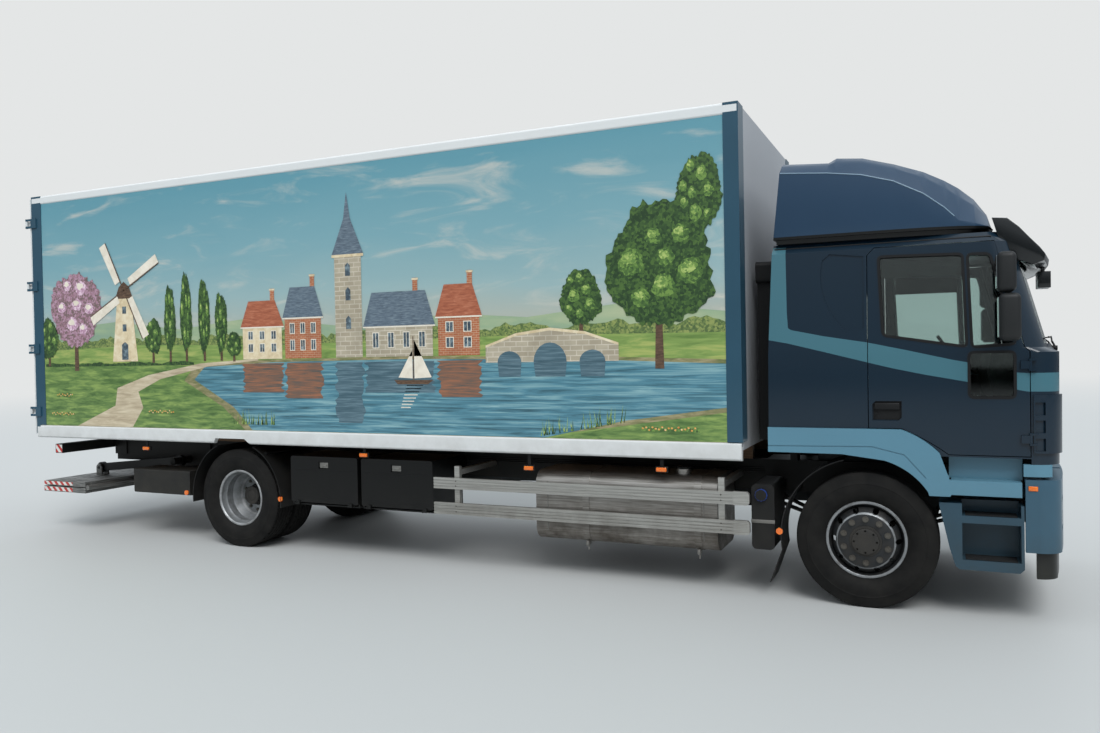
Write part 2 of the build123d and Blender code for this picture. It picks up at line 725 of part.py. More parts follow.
def grille_outline(grow):
    """Front view of the grille's opening, drawn in (y, z)."""
    g = grow
    return outline((-700 - g, 1300 - g), (700 + g, 1300 - g), (760 + g, 1360), (790 + g, 1640 + g),
                   (-790 - g, 1640 + g), (-760 - g, 1360))


GRILLE_SLATS = (1352.0, 1416.0, 1480.0, 1544.0, 1608.0)
slat_half = 11.0
EAR_SLOTS = ((1248.0, 1338.0), (1376.0, 1466.0), (1503.0, 1593.0))


def ears(outer):
    """Air deflector round each front corner, with three slots behind it."""
    ear = block(1133, 1500, 1030, 1300, 1231, 1646) & (cab_volume(-ear_proud) - outer)
    for z0, z1 in EAR_SLOTS:
        ear -= block(1142, 1207, 1150, 1300, z0, z1)
    return both_sides(ear)


def cabin_space():
    """Room inside the cab's walls, above its floor."""
    return cab_volume(cab_wall, cab_floor_bottom + cab_floor_wall - CAB_LEVELS[0][0], 50)


def make_cab():
    """Cab shell, front panel, doors and glass, all cut from the same skin."""
    outer = cab_volume(0)
    wall = outer - cabin_space()
    screen_cut = prism_x(windscreen_outline(0), 850, 1500)
    glass_skin = cab_volume(glass_inset) - cab_volume(glass_inset + glass_wall)
    shell = wall - block(-900, front_panel_x, -1300, 1300, 1000, cab_floor_bottom)
    front = shell & block(front_panel_x, 1500, -1300, 1300, 1000, CAB_LEVELS[1][0])
    shell = shell - block(front_panel_x, 1500, -1300, 1300, 1000, CAB_LEVELS[1][0])
    shell -= screen_cut
    grille_floor = cab_volume(grille_depth)
    front -= prism_x(grille_outline(0), 1200, 1500) - grille_floor
    slats = Part()
    for z in GRILLE_SLATS:
        slats += block(1200, 1500, -795, 795, z - slat_half, z + slat_half)
    front += slats & prism_x(grille_outline(1), 1200, 1500) & (cab_volume(7) - grille_floor)
    front += ears(outer)
    pressed = cab_volume(panel_depth)
    shell -= both_sides(prism_y(side_panel(), 1000, 1300) - pressed)
    for side in (0, 1):
        lo, hi = (1000, 1300) if side else (-1300, -1000)
        shell -= prism_y(door_outline(door_gap), lo, hi) - cab_volume(cab_wall + door_gap)
    hood = block(-700, 830, -450, 450, cab_floor_bottom, 1560)
    shell += hood & outer
    shell -= block(-760, 790, -410, 410, 1000, 1520)
    screen = glass_skin & prism_x(windscreen_outline(-glass_fit), 850, 1500)
    slab = prism_y(door_outline(0), 1000, 1300) & (outer - cab_volume(cab_wall))
    windows = (main_window, quarter_window)
    well = prism_y(handle_well(), 1000, 1300) - cab_volume(28)
    grip = block(78, 250, 1000, 1300, 1535, 1580) & (cab_volume(4) - cab_volume(14))
    grip += block(92, 122, 1000, 1300, 1545, 1570) & (cab_volume(10) - cab_volume(40))
    slab = slab - well + grip
    left_door = slab
    left_glass = Part()
    for window in windows:
        left_door -= prism_y(window(0), 1000, 1300)
        left_glass += glass_skin & prism_y(window(-glass_fit), 1000, 1300)
    right_door = left_door - prism_y(kerb_window(0), 1000, 1300)
    right_glass = left_glass + (glass_skin & prism_y(kerb_window(-glass_fit), 1000, 1300))
    return {"cab_shell": shell, "cab_front": front, "windscreen": screen, "door_left": left_door,
            "door_right": other_side(right_door), "door_glass_left": left_glass,
            "door_glass_right": other_side(right_glass)}


door_hinge_x = door_front + door_gap / 2
door_hinge_y = CAB_LEVELS[0][2] + 13
DOOR_HINGES = (1330.0, 1860.0)


def door_knuckles():
    """Moving half of the left door's hinges."""
    halves = Part()
    for z in DOOR_HINGES:
        knuckle_piece = rod_z(door_hinge_x, door_hinge_y, 11, z - 28, z + 28)
        knuckle_piece += block(door_hinge_x - 60, door_hinge_x, door_hinge_y - 16, door_hinge_y + 8,
                               z - 28, z + 28)
        halves += knuckle_piece - rod_z(door_hinge_x, door_hinge_y, 5 + pin_fit, z - 40, z + 40)
    return halves


def pillar_knuckles():
    """Fixed half of the left door's hinges, with the pins."""
    halves = Part()
    for z in DOOR_HINGES:
        for z0, z1 in ((z + 29, z + 44), (z - 44, z - 29)):
            halves += rod_z(door_hinge_x, door_hinge_y, 11, z0, z1)
            halves += block(door_hinge_x, door_hinge_x + 40, door_hinge_y - 30, door_hinge_y + 6, z0, z1)
        halves += rod_z(door_hinge_x, door_hinge_y, 5, z - 40, z + 40)
    return halves


def cab_arches():
    """Side skirts of the cab: wheel arch band, sill ledge and the recess above it."""
    band = outline((-717, 1386), (262, 1386), ((420, 1305), (524, 1215)), (575, 1060), (600, 1022),
                   (1055, 1022), (1055, 915), (600, 915), (590, 900), (450, 900), (444, 925),
                   ((319, 1062), (141, 1151)), (-164, 1190), (-717, 1192))
    seat = CAB_LEVELS[0][2]
    skirt = prism_y(band, seat - 18, seat + arch_proud)
    crease = outline((-717, 1236), (57, 1248), (280, 1193), (426, 1026), (434, 1030), (284, 1201),
                     (57, 1256), (-717, 1244))
    skirt -= prism_y(crease, seat + arch_proud - crease_depth, seat + arch_proud + 1)
    skirt -= block(-900, 1200, seat - 30, seat, cab_floor_bottom, 1500)
    skirt -= block(585, 1056, seat - 200, seat + 100, 1022, 1200)
    ledge = block(600, 1055, 1000, seat, 915, 1022)
    back = block(585, 1068, 1085, 1105, 1022, cab_floor_bottom)
    seat_level = CAB_LEVELS[0][0] - 0.3
    corner = block(1068, 1250, 1000, 1300, 1062, seat_level) & (lower_skin(0) - lower_skin(40))
    return both_sides(skirt + ledge + back + corner)


def lower_skin(inset):
    """The cab's lowest level outline, drawn down to the bumper."""
    level = (CAB_LEVELS[0][0] - 100,) + CAB_LEVELS[0][1:]
    return extrude(cab_section(level, inset), 140)


fairing_gap = 34.0
fairing_foot = 26.0
fairing_crown = 12.0

# columns: place, half width, crease height, half width of the top, height of the top
FAIRING_STATIONS = (
    (-668.0, 1198.0, 3394.0, 1050.0, 3489.0),
    (-250.0, 1198.0, 3356.0, 1050.0, 3459.0),
    (-190.0, 1198.0, 3349.0, 1050.0, 3490.0),
    (0.0, 1198.0, 3318.0, 1050.0, 3470.0),
    (227.0, 1194.0, 3249.0, 1030.0, 3404.0),
    (434.0, 1180.0, 3138.0, 1000.0, 3329.0),
    (576.0, 1155.0, 3026.0, 970.0, 3255.0),
    (670.0, 1130.0, 2930.0, 930.0, 3197.0),
    (780.0, 1080.0, 2905.0, 850.0, 3111.0),
    (870.0, 1000.0, 2885.0, 700.0, 3010.0),
    (905.0, 900.0, 2870.0, 500.0, 2910.0),
)


def fairing():
    """Roof deflector: flat sides up to a crease, a shoulder, a stepped top and a dark gap at its foot."""
    base = CAB_LEVELS[-1][0]
    sections = []
    for x, half, crease, top_half, top in FAIRING_STATIONS:
        shoulder = ((half + top_half) / 2, crease + (top - crease) * 0.7)
        left = [(half, base), (half, crease), shoulder, (top_half, top)]
        right = [(-y, z) for y, z in reversed(left)]
        sections.append(Pos(x, 0, 0) * (Plane.YZ * outline(*left, (0, top + fairing_crown), *right)))
    body = Part()
    for back, front in zip(sections, sections[1:]):
        body += loft([back, front], ruled=True)
    body -= prism_y(outline((-700, base - 10), (-668, base - 10), (-600, 3463), (-597, 3600), (-700, 3600)),
                    -1300, 1300)
    rim = [(x + fairing_foot, half - fairing_foot) for x, half, *_ in FAIRING_STATIONS[:1]]
    rim += [(x - fairing_foot, half - fairing_foot) for x, half, *_ in FAIRING_STATIONS[4:]]
    foot = outline(*rim, *[(x, -y) for x, y in reversed(rim)])
    gap = block(-800, 1000, -1300, 1300, base - 1, base + fairing_gap)
    return body - (gap - prism_z(foot, base - 2, base + fairing_gap + 1))


def visor(cab_skin, deflector):
    """Sun visor over the screen, and the front mirror that hangs under it."""
    def section(shift, y):
        profile = ((885, 2931), (985, 2921), (1060, 2852), (1125, 2773), (1190, 2698), (1223, 2650),
                   (1216, 2602), (1150, 2575), (1058, 2612), (951, 2698))
        face = outline(*[(x + shift, z) for x, z in profile])
        return Pos(0, y, 0) * (Plane.XZ * face)
    half = loft([section(0, -1130), section(80, -560), section(105, 0)], ruled=True)
    hood = half + other_side(half)
    arm = block(1240, 1268, -615, -590, 2500, 2640) + block(1215, 1300, -700, -510, 2430, 2555)
    return (hood - cab_skin - deflector) + arm


def mirror_left(cab_skin):
    """Mirror group on two arms from the door's front edge."""
    housing = block(905, 1045, 1290, 1500, 2030, 2362)
    housing = fillet(housing.edges().filter_by(Axis.Z), 30)
    upper = block(895, 1020, 1290, 1490, 2372, 2650)
    upper = fillet(upper.edges().filter_by(Axis.Z), 30)
    group = housing + upper + rod_z(975, 1340, 16, 2300, 2400)
    for x, z in ((1029, 2110), (913, 2590)):
        group += rod_y(x, z, 15, 1150, 1300) - cab_skin
    return group


def seats():
    """Driver's and passenger's seats on their pedestals."""
    seat = block(-60, 440, 560, 1060, 1440, 1580)
    seat = fillet(seat.edges(), 40)
    back = prism_y(outline((-60, 1560), (-200, 2150), (-90, 2170), (70, 1560)), 570, 1050)
    head = block(-215, -105, 690, 930, 2180, 2370)
    pedestal = block(0, 380, 620, 1000, cab_floor_bottom + cab_floor_wall, 1450)
    posts = block(-170, -140, 740, 760, 2100, 2200) + block(-170, -140, 860, 880, 2100, 2200)
    return both_sides(seat + back + head + pedestal + posts)


def dashboard(cabin):
    """Dash across the cab with the driver's binnacle, column and wheel."""
    across = outline((900, 1560), (850, 1800), (880, 1955), (1400, 1955), (1400, 1560))
    board = prism_y(across, -1090, 1090) & cabin
    board += prism_y(outline((800, 1800), (780, 1930), (860, 2010), (960, 1975), (900, 1800)), 560, 1080)
    hub = (640, 1905)
    column = tube_between(hub, (860, 1760), 810, 34)
    ring = extrude(RegularPolygon(236, 20) - RegularPolygon(206, 20), 15, both=True)
    steering = ring + Cylinder(50, 40) + Box(430, 40, 14)
    wheel = Pos(hub[0], 810, hub[1]) * Rot(0, -33.4, 0) * Rot(0, 90, 0) * steering
    return board + column + wheel


def air_intake(cab_skin):
    """Air duct up the back of the cab, with its hood at the top."""
    duct = block(-868, -722, 560, 800, 1240, 2560)
    hood = block(-872, -720, 500, 860, 2560, 2740)
    hood = fillet(hood.edges().filter_by(Axis.X), 40)
    for z in (1700, 2400):
        duct += block(-725, -660, 600, 760, z - 40, z + 40) - cab_skin
    return other_side(duct + hood)


# Box body

def box_floor():
    """Floor over cross bearers on two runners that lie on the frame."""
    half = half_box - 52
    floor = block(box_rear + 60, box_front - 46, -half, half, floor_top - floor_wall, floor_top)
    bearer_top = floor_top - floor_wall
    bearer_bottom = bearer_top - bearer_height
    count = 14
    pitch = (box_length - 400) / (count - 1)
    for index in range(count):
        x = box_rear + 200 + index * pitch
        floor += block(x - 25, x + 25, -half_box + 70, half_box - 70, bearer_bottom, bearer_top)
    runner = block(box_rear + 230, box_front - 90, rail_outer - rail_flange, rail_outer, rail_top,
                   bearer_bottom)
    return floor + both_sides(runner)


def box_sides():
    outer = half_box - side_inset
    wall = block(box_rear + 60, box_front - post_front_width, outer - side_wall, outer,
                 lower_rail_top - 40, box_top - 60)
    return both_sides(wall)


def box_roof():
    half = half_box - 52
    return block(box_rear + 60, box_front - 46, -half, half, box_top - roof_wall - 6, box_top - 6)


def box_bulkhead():
    half = half_box - 52
    return block(box_front - 46, box_front - 6, -half, half, floor_top - floor_wall, box_top - 6)


def box_rails_half():
    """Left side's white rails, along the top and the bottom, notched over the rear wheel."""
    def rail(z0, z1, corner):
        body = block(box_rear + 10, box_front - 10, half_box - 52, half_box, z0, z1)
        edges = body.edges().filter_by(Axis.X).sort_by(Axis.Y)[-2:]
        return fillet(edges, corner)
    lower = rail(lower_rail_bottom, lower_rail_top, 22)
    skin = half_box - side_inset + 0.01
    lower -= block(box_rear, box_front, half_box - 60, skin, lower_rail_top - 40.01, lower_rail_top + 1)
    upper = rail(box_top - roof_rail_height, box_top, 22)
    upper -= block(box_rear, box_front, half_box - 60, skin, box_top - roof_rail_height - 1, box_top - 59.99)
    roof_edge = half_box - 51.99
    upper -= block(box_rear, box_front, half_box - 60, roof_edge, box_top - roof_wall - 6.01, box_top + 1)
    notch = outline((rear_axle - 261, 1100), (rear_axle - 225, 1165), (rear_axle + 175, 1165),
                    (rear_axle + 266, 1100))
    lower -= prism_y(notch, half_box - 60, half_box + 10)
    return lower + upper


def box_rails():
    return both_sides(box_rails_half())


def box_posts():
    """Dark corner posts in front, and the rear frame that carries the doors' hinges."""
    front = block(box_front - post_front_width, box_front, half_box - 50, half_box, lower_rail_top, box_top)
    front += block(box_front - 5, box_front, half_box - 190, half_box, lower_rail_top, box_top)
    rear = block(box_rear, box_rear + 60, half_box - 90, half_box, lower_rail_top - 100, box_top)
    rear += block(box_rear, box_rear + post_rear_width, half_box - side_inset, half_box, lower_rail_top,
                  box_top)
    for z in REAR_HINGES:
        for z0, z1 in ((z + 31, z + 56), (z - 56, z - 31)):
            rear += rod_z(rear_hinge_x, rear_hinge_y, hinge_radius, z0, z1)
            rear += block(rear_hinge_x, box_rear + 90, half_box, half_box + hinge_side + 6, z0, z1)
        rear += block(box_rear, box_rear + 90, half_box, half_box + hinge_side + 6, z - 56, z + 56)
        rear += rod_z(rear_hinge_x, rear_hinge_y, 7, z - 56, z + 56)
    posts = both_sides(front + rear - box_rails_half())
    bar_end = half_box - 90.01
    for low, high in ((lower_rail_bottom, lower_rail_top), (box_top - 110, box_top)):
        posts += block(box_rear, box_rear + 60, -bar_end, bar_end, low, high)
    return posts


def rear_door():
    """Left leaf of the rear doors: flat panel, hinge straps and a full-height lock rod."""
    inner, outer = 3.0, half_box - 13
    face = box_rear - rear_door_wall
    leaf = block(face, box_rear - 1, inner, outer, lower_rail_bottom + 40, box_top - 25)
    for z in REAR_HINGES:
        strap = block(face - 8, face, outer - 260, outer, z - 28, z + 28)
        strap += block(rear_hinge_x, face, outer - 12, outer, z - 28, z + 28)
        strap += block(rear_hinge_x - 6, rear_hinge_x + 6, outer - 6, rear_hinge_y, z - 28, z + 28)
        strap += rod_z(rear_hinge_x, rear_hinge_y, hinge_radius, z - 30, z + 30)
        leaf += strap
    for z in REAR_HINGES:
        leaf -= rod_z(rear_hinge_x, rear_hinge_y, 7 + pin_fit, z - 60, z + 60)
    rod_place = 180.0
    leaf += rod_z(face - 17, rod_place, 13, lower_rail_bottom + 60, box_top - 45)
    for z in (lower_rail_top + 30, 2100, 3000, box_top - 200):
        leaf += block(face - 30, face, rod_place - 30, rod_place + 30, z - 22, z + 22)
    leaf += block(face - 32, face - 8, rod_place, rod_place + 420, 1840, 1868)
    return leaf


hinge_low, hinge_high = lower_rail_top + 160, box_top - 315
REAR_HINGES = [hinge_low + index * (hinge_high - hinge_low) / 3 for index in range(4)]


# Tail: underrun beam and the folded tail lift

lift_pivot_x = box_rear + lift_pivot_back
platform_pivot_x = box_rear + platform_pivot_back


def underrun_beam():
    """Square beam across the tail with its arms, tail-lamp brackets and plate carrier."""
    x0 = box_rear + tail_beam_back
    x1 = x0 + tail_beam_depth
    beam = block(x0, x1, -1190, 1190, 918, 1026)
    for side in (-1, 1):
        lo, hi = sorted((side * rail_outer, side * (rail_outer + 14)))
        beam += block(x1 - 20, x1 + 180, lo, hi, 830, 1020)
    return beam


def lift_frame():
    """Cross tube between cheeks on the frame rails, cylinder lugs and the power pack."""
    frame_piece = Part()
    for side in (-1, 1):
        lo, hi = sorted((side * (rail_outer + 4), side * 720))
        frame_piece += rod_y(lift_pivot_x, lift_pivot_z, 42, lo, hi)
        lo, hi = sorted((side * rail_outer, side * (rail_outer + 24)))
        frame_piece += block(lift_pivot_x - 160, lift_pivot_x + 330, lo, hi, 560, 1010)
    frame_piece += rod_y(cylinder_base[0], cylinder_base[1], 20, rail_outer + 10, cylinder_y + 40)
    frame_piece += rod_y(cylinder_base[0], cylinder_base[1], 20, -cylinder_y - 40, -rail_outer - 10)
    pack_back, pack_front = lift_pivot_x - 145, rear_axle - tyre_radius - pack_to_tyre
    pack = rounded_bar(pack_back, pack_front, -1140, -760, 500, 770, 20)
    middle = (pack_back + pack_front) / 2
    pack += block(middle - 30, middle + 30, -780, -rail_outer, 700, 760)
    return frame_piece + pack


cylinder_base = (lift_pivot_x + 200, 620.0)
cylinder_eye = (lift_pivot_x - 750, 655.0)
cylinder_y = 520.0
cylinder_length = 470.0


def along_cylinder(distance):
    """Point of the cylinder's line, measured from its base pin."""
    dx, dz = cylinder_eye[0] - cylinder_base[0], cylinder_eye[1] - cylinder_base[1]
    length = sqrt(dx ** 2 + dz ** 2)
    return (cylinder_base[0] + dx * distance / length, cylinder_base[1] + dz * distance / length)


def lift_cylinders():
    """Both lift cylinders' barrels, each with its eye on the base pin."""
    barrel = tube_between(along_cylinder(24), along_cylinder(cylinder_length), cylinder_y, 38)
    barrel += rod_y(*cylinder_base, 34, cylinder_y - 26, cylinder_y + 26)
    barrel -= rod_y(*cylinder_base, 20 + pin_fit, cylinder_y - 30, cylinder_y + 30)
    barrel -= tube_between(along_cylinder(90), along_cylinder(cylinder_length + 5), cylinder_y, 20 + pin_fit)
    return both_sides(barrel)


def lift_rods():
    """Chromed rods, each ending in an eye round the arm's pin."""
    reach = sqrt((cylinder_eye[0] - cylinder_base[0]) ** 2 + (cylinder_eye[1] - cylinder_base[1]) ** 2)
    rod = tube_between(along_cylinder(170), along_cylinder(reach - 24), cylinder_y, 20)
    rod += rod_y(*cylinder_eye, 32, cylinder_y - 22, cylinder_y + 22)
    rod -= rod_y(*cylinder_eye, 16 + 3.5, cylinder_y - 30, cylinder_y + 30)
    return both_sides(rod)


def lift_arms():
    """Pair of arms from the cross tube to the platform, with a pin for each cylinder."""
    pivot = (lift_pivot_x, lift_arm_y, lift_pivot_z)
    end = (platform_pivot_x, lift_arm_y, platform_pivot_z)
    arm = bar(pivot, end, 50, 96)
    for x, _, z in (pivot, end):
        arm += rod_y(x, z, 66, lift_arm_y - 25, lift_arm_y + 25)
    arm -= rod_y(lift_pivot_x, lift_pivot_z, 42 + pin_fit, lift_arm_y - 30, lift_arm_y + 30)
    arm += block(cylinder_eye[0] - 40, cylinder_eye[0] + 40, lift_arm_y - 25, lift_arm_y + 5,
                 cylinder_eye[1] - 35, 735)
    arm += rod_y(*cylinder_eye, 16, cylinder_y - 26, lift_arm_y - 20)
    arm += rod_y(platform_pivot_x, platform_pivot_z, 18, lift_arm_y - 60, lift_arm_y + 60)
    return both_sides(arm)


def lift_platform():
    """Platform folded on itself, its hinge tube in front and two lugs on the arms' pins."""
    back = box_rear - 5
    front = back + platform_depth
    z0 = platform_bottom
    lower = block(back, front, -1200, 1200, z0, z0 + 62)
    upper = block(back + 30, front, -1200, 1200, z0 + 74, z0 + 130)
    hinge = rod_y(front + 22, z0 + 68, 30, -1190, 1190)
    links = Part()
    for y in (-1100, -500, 500, 1100):
        links += block(front - 40, front + 22, y - 30, y + 30, z0 + 8, z0 + 122)
    lugs = Part()
    for y in (lift_arm_y - 46, lift_arm_y + 46):
        ear = block(platform_pivot_x - 45, platform_pivot_x + 45, y - 10, y + 10, z0 + 120, platform_pivot_z)
        ear += rod_y(platform_pivot_x, platform_pivot_z, 45, y - 10, y + 10)
        lugs += ear - rod_y(platform_pivot_x, platform_pivot_z, 18 + pin_fit, y - 20, y + 20)
    return lower + upper + hinge + links + both_sides(lugs)


def tilt_lugs():
    """Left lug under the cab's front panel, with its eye round the tilting pin."""
    y0, y1 = tilt_lug_y - 20, tilt_lug_y + 20
    lug = block(tilt_x - 20, tilt_x + 20, y0, y1, tilt_z, CAB_LEVELS[0][0])
    lug += rod_y(tilt_x, tilt_z, 26, y0, y1)
    return lug - rod_y(tilt_x, tilt_z, tilt_pin + pin_fit, y0 - 1, y1 + 1)


cab = make_cab()
cab_skin = cab_volume(0)
cabin = cabin_space()
cab["cab_front"] += both_sides(pillar_knuckles()) + both_sides(tilt_lugs())
for side in ("left", "right"):
    halves = door_knuckles() if side == "left" else other_side(door_knuckles())
    cab[f"door_{side}"] += halves
deflector = fairing()
left_pieces = {"mirror": mirror_left(cab_skin), "knuckle": knuckle(), "front_rim": front_rim(),
               "front_tyre": tyre(0, front_wheel_y), "rear_rims": rear_rims(), "rear_tyres": rear_tyres(),
               "rear_door": rear_door()}

NODES = {
    "frame": frame(),
    "front_axle": front_axle(),
    "rear_axle": rear_axle_piece(),
    "suspension": suspension(),
    "engine": engine(),
    "driveline": driveline(),
    "fuel_tank": fuel_tank(),
    "additive_tank": additive_tank(),
    "battery_box": battery_box(),
    "side_guards": side_guards(),
    "toolboxes": toolboxes(),
    "toolbox_door_rear": toolbox_door("rear"),
    "toolbox_door_front": toolbox_door("front"),
    "mudguards": mudguards(),
    "bumper": bumper(),
    "steps": steps(),
    "lamps": lamps(),
    "box_floor": box_floor(),
    "box_sides": box_sides(),
    "box_roof": box_roof(),
    "box_bulkhead": box_bulkhead(),
    "box_rails": box_rails(),
    "box_posts": box_posts(),
    "underrun_beam": underrun_beam(),
    "lift_frame": lift_frame(),
    "lift_arms": lift_arms(),
    "lift_platform": lift_platform(),
    "lift_cylinders": lift_cylinders(),
    "lift_rods": lift_rods(),
    "cab_arches": cab_arches(),
    "fairing": deflector,
    "visor": visor(cab_skin, deflector),
    "seats": seats(),
    "dashboard": dashboard(cabin),
    "air_intake": air_intake(cab_skin),
    "tie_rod": tie_rod(),
    **cab,
}
for name, shape in left_pieces.items():
    NODES[f"{name}_left"] = shape
    NODES[f"{name}_right"] = other_side(shape)

to_frame = Pos(-(front_overhang + overall_rear) / 2, 0, 0)
os.makedirs("parts", exist_ok=True)
for name, shape in NODES.items():
    export_step(to_frame * shape, f"parts/{name}.step")
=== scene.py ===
import random
from math import atan2, cos, pi, radians, sin

import bmesh
import bpy
from mathutils import Matrix, Vector


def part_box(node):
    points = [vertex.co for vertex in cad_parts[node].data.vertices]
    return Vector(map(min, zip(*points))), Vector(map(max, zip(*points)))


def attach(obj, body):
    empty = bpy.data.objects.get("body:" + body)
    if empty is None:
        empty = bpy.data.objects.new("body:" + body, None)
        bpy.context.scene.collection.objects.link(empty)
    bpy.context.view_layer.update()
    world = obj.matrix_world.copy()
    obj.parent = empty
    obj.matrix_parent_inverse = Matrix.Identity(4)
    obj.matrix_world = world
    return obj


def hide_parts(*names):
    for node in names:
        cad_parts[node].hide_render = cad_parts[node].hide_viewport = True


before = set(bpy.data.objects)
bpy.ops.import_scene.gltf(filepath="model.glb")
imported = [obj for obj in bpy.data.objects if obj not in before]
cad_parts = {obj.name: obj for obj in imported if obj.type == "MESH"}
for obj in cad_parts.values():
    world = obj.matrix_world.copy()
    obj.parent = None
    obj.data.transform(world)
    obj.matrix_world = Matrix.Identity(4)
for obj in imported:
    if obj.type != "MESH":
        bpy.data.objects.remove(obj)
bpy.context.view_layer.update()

scene = bpy.context.scene
scene.view_settings.view_transform = "Standard"

# Camera
# The photographer stands 8 m off the right side, level with the front axle, and looks back along
# the box. A 28 mm lens on a full-frame sensor takes in the whole truck.
stand = (4.5720, -8.1933, 2.0054)
bearing, pitch, roll = radians(24.34), radians(89.114), radians(-1.0677)
camera = bpy.data.objects.new("camera", bpy.data.cameras.new("camera"))
camera.data.sensor_width = 36
camera.data.lens = 28.293
camera.data.clip_end = 400
camera.matrix_world = (Matrix.Translation(stand) @ Matrix.Rotation(bearing, 4, "Z")
                       @ Matrix.Rotation(pitch, 4, "X") @ Matrix.Rotation(roll, 4, "Z"))
scene.collection.objects.link(camera)
scene.camera = camera


# Studio floor and light
# A pale painted floor that runs out to a sky of the same tone, under a broad soft light from the
# right and above, as under an overcast sky.
def linear(code):
    """sRGB hex to a linear colour."""
    parts = [int(code[place:place + 2], 16) / 255 for place in (1, 3, 5)]
    return [part / 12.92 if part <= 0.04045 else ((part + 0.055) / 1.055) ** 2.4 for part in parts] + [1.0]


def feed(tree, node, inputs):
    """Fills inputs, each with a value, an output, or a node that gives its first output in use."""
    for name, value in inputs.items():
        if isinstance(value, bpy.types.Node):
            value = next(output for output in value.outputs if output.enabled)
        if isinstance(value, bpy.types.NodeSocket):
            tree.links.new(value, node.inputs[name])
        else:
            node.inputs[name].default_value = value


def add(tree, kind, inputs=None, **settings):
    """Shader node with its settings and links."""
    node = tree.nodes.new("ShaderNode" + kind)
    for name, value in settings.items():
        setattr(node, name, value)
    feed(tree, node, inputs or {})
    return node


def blank(name):
    """New material with its tree, its shader and the place on the object, in metres."""
    material = bpy.data.materials.new(name)
    material.use_nodes = True
    tree = material.node_tree
    return material, tree, tree.nodes["Principled BSDF"], add(tree, "TexCoord").outputs["Object"]


backdrop_tone = linear("#e4e6e6")
floor_radius = 120.0
fade_start, fade_end = 14.0, 60.0

floor_paint, tree, shader, place = blank("painted_studio_floor")
distance = add(tree, "VectorMath", {0: place}, operation="LENGTH")
fade = add(tree, "MapRange", {"Value": distance, "From Min": fade_start, "From Max": fade_end},
           interpolation_type="SMOOTHSTEP")
grain = add(tree, "TexNoise", {"Vector": place, "Scale": 9.0, "Detail": 6.0})
feed(tree, shader, {"Base Color": linear("#b4b6b5"), "Roughness": 0.55,
                    "Normal": add(tree, "Bump", {"Height": grain, "Strength": 0.06, "Distance": 0.01})})
seen = add(tree, "LightPath").outputs["Is Camera Ray"]
glow = add(tree, "Emission", {"Color": backdrop_tone, "Strength": seen})
blend = add(tree, "MixShader", {0: fade, 1: shader, 2: glow})
feed(tree, tree.nodes["Material Output"], {"Surface": blend})

bm = bmesh.new()
bmesh.ops.create_circle(bm, cap_ends=True, radius=floor_radius, segments=96)
data = bpy.data.meshes.new("studio_floor")
bm.to_mesh(data)
bm.free()
data.materials.append(floor_paint)
floor = bpy.data.objects.new("studio_floor", data)
scene.collection.objects.link(floor)

world = bpy.data.worlds.new("overcast")
scene.world = world
world.use_nodes = True
tree = world.node_tree
sky = tree.nodes["Background"]
rise = add(tree, "SeparateXYZ", {0: add(tree, "TexCoord").outputs["Generated"]}).outputs["Z"]
strength = add(tree, "MapRange", {"Value": rise, "From Min": 0.0, "From Max": 0.55, "To Min": 0.22,
                                  "To Max": 1.25}, interpolation_type="SMOOTHSTEP")
feed(tree, sky, {"Color": linear("#e3eaf0"), "Strength": strength})
seen = add(tree, "Background", {"Color": backdrop_tone, "Strength": 1.0})
rays = add(tree, "LightPath").outputs
direct = add(tree, "Math", {0: rays["Is Camera Ray"], 1: rays["Is Transmission Ray"]}, operation="MAXIMUM")
feed(tree, tree.nodes["World Output"], {"Surface": add(tree, "MixShader", {0: direct, 1: sky, 2: seen})})

sun = bpy.data.objects.new("soft_sun", bpy.data.lights.new("soft_sun", "SUN"))
sun.data.energy = 2.1
sun.data.angle = radians(30)
sun.rotation_euler = Vector((-0.45, 0.75, -1.0)).to_track_quat("-Z", "Y").to_euler()
scene.collection.objects.link(sun)


# Chassis frame
# Pressed steel channels, cross-members, springs and shafts, dipped in black chassis paint. Road
# film has settled on them, thicker towards the ground.
def dress(material, *nodes):
    """Gives CAD nodes their finish."""
    for name in nodes:
        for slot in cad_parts[name].material_slots:
            slot.material = material


def dusty(tree, place, colour, code, low, high, amount):
    """Colour under a film of road dust that thins out from low to high, in metres, and its share."""
    height = add(tree, "SeparateXYZ", {0: place}).outputs["Z"]
    fall = add(tree, "MapRange", {"Value": height, "From Min": low, "From Max": high, "To Min": amount,
                                  "To Max": 0.0}, interpolation_type="SMOOTHSTEP")
    cloud = add(tree, "TexNoise", {"Vector": place, "Scale": 5.5, "Detail": 7.0, "Roughness": 0.62})
    patchy = add(tree, "MapRange", {"Value": cloud, "From Min": 0.3, "From Max": 0.7, "To Min": 0.35,
                                    "To Max": 1.3})
    share = add(tree, "Math", {0: fall, 1: patchy}, operation="MULTIPLY", use_clamp=True)
    return add(tree, "Mix", {"Factor": share, 6: colour, 7: linear(code)}, data_type="RGBA"), share


paint_gloss = 0.28
dust_roughness = 0.85


